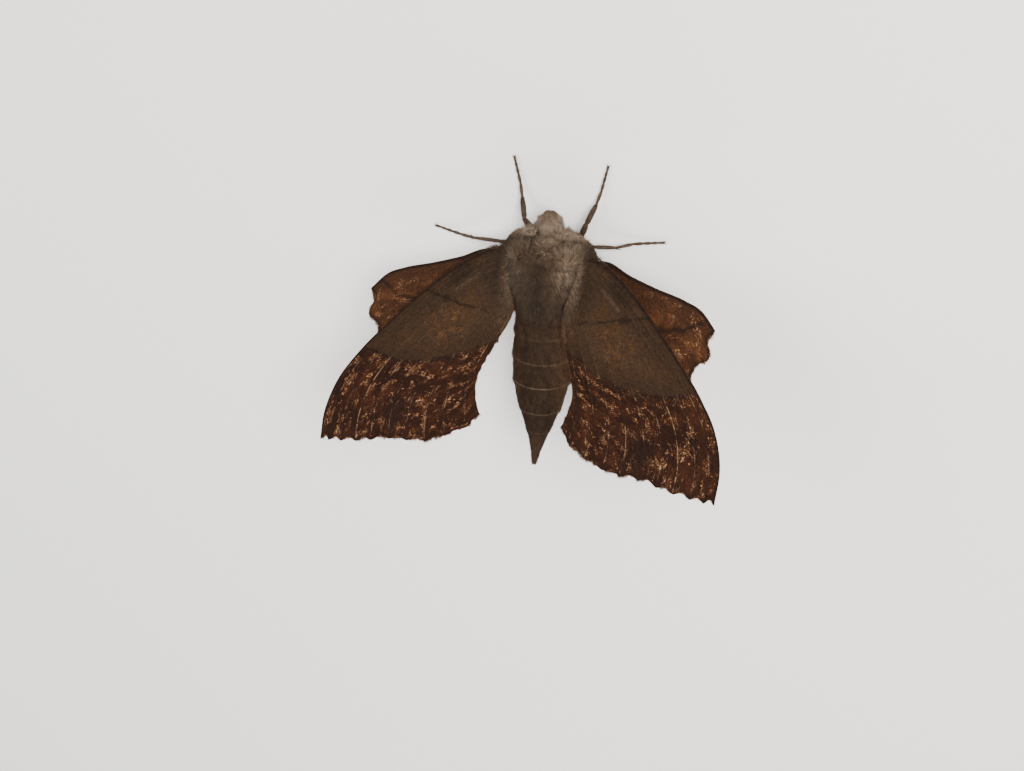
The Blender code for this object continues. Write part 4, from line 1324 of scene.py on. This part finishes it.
lies = (0.0, -1.0, 0.0) + 0.10 * draw.normal(size=(len(roots), 3))
tufts = grow_tufts(roots, normals, lies, np.minimum(long, places - TAIL_TIP + 0.42),
                   draw.uniform(0.045, 0.085, len(roots)), lift, None, draw)
coat_piece("fringe_abdomen", tufts, skin_map(places, turns), draw.uniform(0.45, 1.0, len(roots)), thorax_coat)


# Hair on the wings: long soft hair streams from the thorax over the wing roots, and a ragged
# fringe of scales in two ranks edges each wing, sparser along its inner edge
ROOT_HAIRS = {"fore": 5500, "hind": 1500}
ROOT_HAIR_REACH = 0.22
FRINGE_SCALES = {"fore": (3000, 1400), "hind": (2400, 700)}
FRINGE_RANKS = (-0.03, 0.03)
WING_STEP = 0.004


def wing_frame(shape, side, length, share):
    """Points of a wing's upper face with the normal there, the way outwards and the way across."""
    def lay(u, s):
        flat = shape.plan_point(u, s)
        z = wing_height(flat[:, 0], flat[:, 1], shape.plan["below"]) - MEMBRANE_UNDER
        return np.stack([flat[:, 0] * side, flat[:, 1], z], axis=1)

    out = lay(np.minimum(length + WING_STEP, 1.0), share) - lay(np.maximum(length - WING_STEP, 0.0), share)
    across = lay(length, np.minimum(share + WING_STEP, 1.0)) - lay(length, np.maximum(share - WING_STEP, 0.0))
    out, across = unit(out), unit(across)
    normal = unit(np.cross(out, across))
    return lay(length, share), normal * np.sign(normal[:, 2:3]), out, across


fringe_finish, tree, shader = new_finish("wing_fringe", 0.8)
tone = known(tree, "tone")
rusty = band(tree, noise(tree, place_in_mm(tree), 1.8, 4.0, 0.7), 0.42, 0.66)
colour = layered(tree, EDGE_DARK, (rusty, 1.0, OUTER_WARM), (band(tree, tone, 0.74, 0.92), 1.0, WORN_TAN))
colour = toned(tree, colour, scaled(tree, tone, 0.9, 0.5))
tree.links.new(colour, shader.inputs["Base Color"])

for side, word in SIDES:
    for kind, plan in (("fore", FOREWING), ("hind", HINDWING)):
        draw = np.random.default_rng(200 + 10 * (side > 0) + (kind == "hind"))
        shape = WingPlan(plan)
        count = ROOT_HAIRS[kind]
        length = ROOT_HAIR_REACH * draw.uniform(0.04, 1.0, count) ** 1.7
        share = draw.uniform(0.01, 0.99, count)
        point, normal, out, across = wing_frame(shape, side, length, share)
        swing = 0.22 * draw.normal(size=count) + 0.25 * ripples(point, 1.3, 44)
        lies = out + across * swing[:, None]
        thinning = 1 - 0.6 * length / ROOT_HAIR_REACH
        long = 1.35 * thinning * draw.uniform(0.6, 1.3, count)
        lift = np.maximum(np.radians(11 * thinning + 3 * draw.normal(size=count)), 0.02)
        tufts = grow_tufts(point, normal, lies, long, draw.uniform(0.05, 0.085, count), lift,
                           math.radians(9), draw)
        coat_piece("hair_" + kind + "wing_root_" + word, tufts, wing_map(length, share),
                   mixed_tones(draw, count, 0.2), thorax_coat)
        outer_count, inner_count = FRINGE_SCALES[kind]
        count = outer_count + inner_count
        is_outer = np.arange(count) < outer_count
        outer_share = draw.uniform(0.0, 1.0, outer_count)
        length = np.concatenate([np.full(outer_count, 0.993), draw.uniform(0.25, 1.0, inner_count)])
        share = np.concatenate([outer_share, np.full(inner_count, 0.995)])
        point, normal, out, across = wing_frame(shape, side, length, share)
        way = np.where(is_outer[:, None], out + 0.25 * across, across + 0.9 * out)
        way = way + 0.30 * draw.normal(size=(count, 3))
        ragged = np.clip(0.55 + 0.5 * ripples(point, 0.8, 45) + 0.35 * shape.sag(share), 0.15, 1.2)
        long = np.where(is_outer, 0.46, 0.30) * ragged * draw.uniform(0.5, 1.3, count)
        rank = draw.choice(FRINGE_RANKS, count)
        lift = 0.12 * draw.normal(size=count) + rank
        tufts = grow_tufts(point, normal, way, long, draw.uniform(0.045, 0.085, count), lift, None, draw)
        coat_piece("fringe_" + kind + "wing_" + word, tufts, wing_map(length, share),
                   draw.uniform(0, 1, count), fringe_finish)

# Hair on the legs: the thighs and shins are shaggy, most of all on the forelegs, and the feet
# are clad in short scales that follow the bend of the tarsus
LEG_HAIR_SHAGGINESS = {"foreleg": 1.0, "midleg": 0.72, "hindleg": 0.72}
LEG_MAP_BAND = 0.26

leg_hair, tree, shader = new_finish("leg_hair", 0.7)
leg_colours(tree, shader, 20.0)
for number, name in enumerate(LEGS):
    draw = np.random.default_rng(300 + number)
    _, coxa, knee, ankle, heel, toe = leg_line(name)
    shaggy = LEG_HAIR_SHAGGINESS[name.split("_")[0]]
    # For each stretch: its ends, how many hairs, how far out their roots are, their length and lift
    stretches = [(coxa, knee, 900, 0.33, 0.62 * shaggy, 15),
                 (knee, ankle, 1100, 0.30 * shaggy, 0.60 * shaggy, 13),
                 (ankle, heel, 350, 0.15, 0.26, 10), (heel, toe, 350, 0.14, 0.24, 10)]
    parts, maps = [], []
    for start, end, count, thick, long, steep in stretches:
        share = draw.uniform(0.0, 1.0, count)
        turns = draw.uniform(0, 2 * math.pi, count)
        way = unit(end - start)
        normal = round_about(way, turns)
        roots = start + (end - start) * share[:, None] + normal * thick * 0.8
        lies = way + 0.2 * draw.normal(size=(count, 3))
        taper = 1 - 0.6 * ease(share, 0.55, 1.0) * (end is not heel)
        grown = long * draw.uniform(0.5, 1.15, count) * taper
        tufts = grow_tufts(roots, normal, lies, grown, draw.uniform(0.04, 0.075, count),
                           math.radians(steep) * taper, None, draw)
        tufts[:, :, 2] = np.maximum(tufts[:, :, 2], 0.01)
        parts.append(tufts)
        band_start = len(maps) * (LEG_MAP_BAND - MAP_EDGE)
        along = band_start + in_map(share, LEG_MAP_BAND)
        maps.append(np.stack([in_map(turns / (2 * math.pi)), along], axis=1))
    tufts = np.concatenate(parts)
    coat_piece("hair_" + name, tufts, np.concatenate(maps), draw.uniform(0, 1, len(tufts)), leg_hair)


# Scales of the palps: short, lying forward and inward, so that the pair closes in one blunt cone
PALP_HAIRS = 3000
side_draws = {side: np.random.default_rng(340 + (side > 0)) for side, _ in SIDES}

for side, word in SIDES:
    draw, count = side_draws[side], PALP_HAIRS
    line, turns = np.arccos(draw.uniform(-0.9, 0.97, count)), draw.uniform(0, 2 * math.pi, count)
    direction = on_ball(line, turns)
    radii = PALP_RADII - PALP_COAT
    roots = lean_in(tilted(direction * radii, PALP_TILT) + mirrored(PALP_CENTRE, side), side)
    normal = tilted(unit(direction / radii), PALP_TILT)
    inner = ease(-side * direction[:, 0], -0.3, 0.5)
    front = ease(direction[:, 1], 0.3, 0.9)
    lies = tilted((0, 1, 0), PALP_TILT) - side * (0.5 + 1.0 * front)[:, None] * np.array((1.0, 0, 0))
    lies = lies + 0.22 * draw.normal(size=(count, 3))
    long = draw.uniform(0.22, 0.46, count) * (1 + 0.4 * inner * front - 0.45 * front)
    tufts = grow_tufts(roots, normal, lies, long, draw.uniform(0.035, 0.060, count),
                       math.radians(7) + math.radians(30) * inner * (1 - 0.5 * front), math.radians(6), draw)
    maps = np.stack([turns / 7.0 + 0.02, line / 3.5 + 0.02], axis=1)
    tones = mixed_tones(draw, count, 0.2, 0.55)
    coat_piece("coat_palp_" + word, tufts, maps, tones, thorax_coat)


# Hair over the roots of the antennae: the thorax's own, which covers each of them up to where it
# dips under the wing
ANTENNA_HAIRS = 2600
ANTENNA_COVERED = 0.62
ANTENNA_ROWS = 400


def antenna_map(turns, along):
    return np.stack([turns / 7.0 + 0.05, along], axis=1)


for side, word in SIDES:
    draw, count = side_draws[side], ANTENNA_HAIRS
    path, radii = antenna_line(side, ANTENNA_ROWS)
    row = (draw.uniform(0.0, ANTENNA_COVERED, count) * ANTENNA_ROWS).astype(int)
    turns = draw.uniform(0, 2 * math.pi, count)
    normal = round_about(unit(np.gradient(path, axis=0))[row], turns)
    roots = path[row] + normal * (radii[row] * ANTENNA_SHARE * 0.9)[:, None]
    lies = np.array((0.35 * side, -0.8, -0.1)) + 0.45 * draw.normal(size=(count, 3))
    long = draw.uniform(0.40, 0.90, count) * (1 - 0.9 * row / ANTENNA_ROWS)
    tufts = grow_tufts(roots, normal, lies, long, draw.uniform(0.045, 0.080, count),
                       math.radians(26) + 0.16 * draw.normal(size=count), math.radians(16), draw)
    keep = clear_of_eyes(tufts)
    maps = antenna_map(turns, in_map(row / ANTENNA_ROWS))
    tones = mixed_tones(draw, count, 0.24)
    coat_piece("coat_antenna_root_" + word, tufts[keep], maps[keep], tones[keep], thorax_coat)


# Brows: hair of the crown that arches over the upper half of each eye and hangs down before it
BROW_HAIRS = 1500

for side, word in SIDES:
    draw, count = side_draws[side], BROW_HAIRS
    around, high = draw.uniform(-2.4, 2.4, count), draw.uniform(0.75, 1.35, count)
    level = np.stack([side * np.cos(around), np.sin(around), np.zeros(count)], axis=1)
    upright = np.array((0.0, 0.0, 1.0))
    outward = level * np.cos(high)[:, None] + upright * np.sin(high)[:, None]
    down = level * np.sin(high)[:, None] - upright * np.cos(high)[:, None]
    roots = mirrored(EYE_CENTRE, side) + outward * (EYE_RADIUS + 0.05)
    long = EYE_RADIUS * (high - 0.25) * draw.uniform(0.7, 1.15, count)
    tufts = grow_tufts(roots, outward, down + 0.35 * draw.normal(size=(count, 3)), long,
                       draw.uniform(0.045, 0.070, count), math.radians(4) + 0.16 * draw.normal(size=count),
                       math.radians(26), draw)
    maps = np.stack([0.5 + 0.06 * around, 0.90 + 0.05 * high], axis=1)
    coat_piece("coat_brow_" + word, tufts, maps, mixed_tones(draw, count, 0.24), thorax_coat)


# Shoulders: long hair that falls forward and out over the front edge of the wing's root
SHOULDER_HAIRS = 4200
SHOULDER_REACH = 0.30
SHOULDER_BREADTH = 0.30

for side, word in SIDES:
    draw, count = side_draws[side], SHOULDER_HAIRS
    length = 0.02 + SHOULDER_REACH * draw.uniform(0, 1, count) ** 1.3
    share = SHOULDER_BREADTH * draw.uniform(0, 1, count) ** 1.6
    point, normal, out, across = wing_frame(WingPlan(FOREWING), side, length, share)
    near = ease(np.abs(point[:, 0]), 8.6, 4.2)
    long = (0.30 + 1.15 * near) * draw.uniform(0.6, 1.15, count) * (1 - 0.5 * share / SHOULDER_BREADTH)
    forward = 0.15 + 0.75 * near * ease(share, 0.25, 0.05)
    lies = out * (0.9 - 0.3 * near)[:, None] - across * forward[:, None] + 0.16 * draw.normal(size=(count, 3))
    lift = np.radians(8 - 26 * ease(share, 0.06, 0.0) * near) + 0.07 * draw.normal(size=count)
    tufts = grow_tufts(point, normal, lies, long, draw.uniform(0.05, 0.08, count), lift, math.radians(16),
                       draw)
    coat_piece("coat_shoulder_" + word, tufts, wing_map(length, share), mixed_tones(draw, count, 0.26),
               thorax_coat)


# Lashes of the antennae: fine hairs that stand in a ring round each joint and lean to the tip
LASHES = 14

for side, word in SIDES:
    draw = side_draws[side]
    path, radii = antenna_line(side, ANTENNA_JOINTS + 1)
    ahead = unit(np.gradient(path, axis=0))
    ahead, path, radii = [np.repeat(rows, LASHES, 0) for rows in (ahead, path, radii)]
    count = len(path)
    turns = 2 * math.pi * (np.arange(count) % LASHES) / LASHES + draw.uniform(-0.2, 0.2, count)
    normal = round_about(ahead, turns)
    roots = path + normal * (radii * ANTENNA_SHARE * 0.9)[:, None]
    tufts = grow_tufts(roots, normal, ahead, 0.20, 0.035, math.radians(38), None, draw)
    coat_piece("lashes_antenna_" + word, tufts, antenna_map(turns, np.linspace(0.02, 0.97, count)),
               draw.uniform(0.3, 0.8, count), leg_hair)
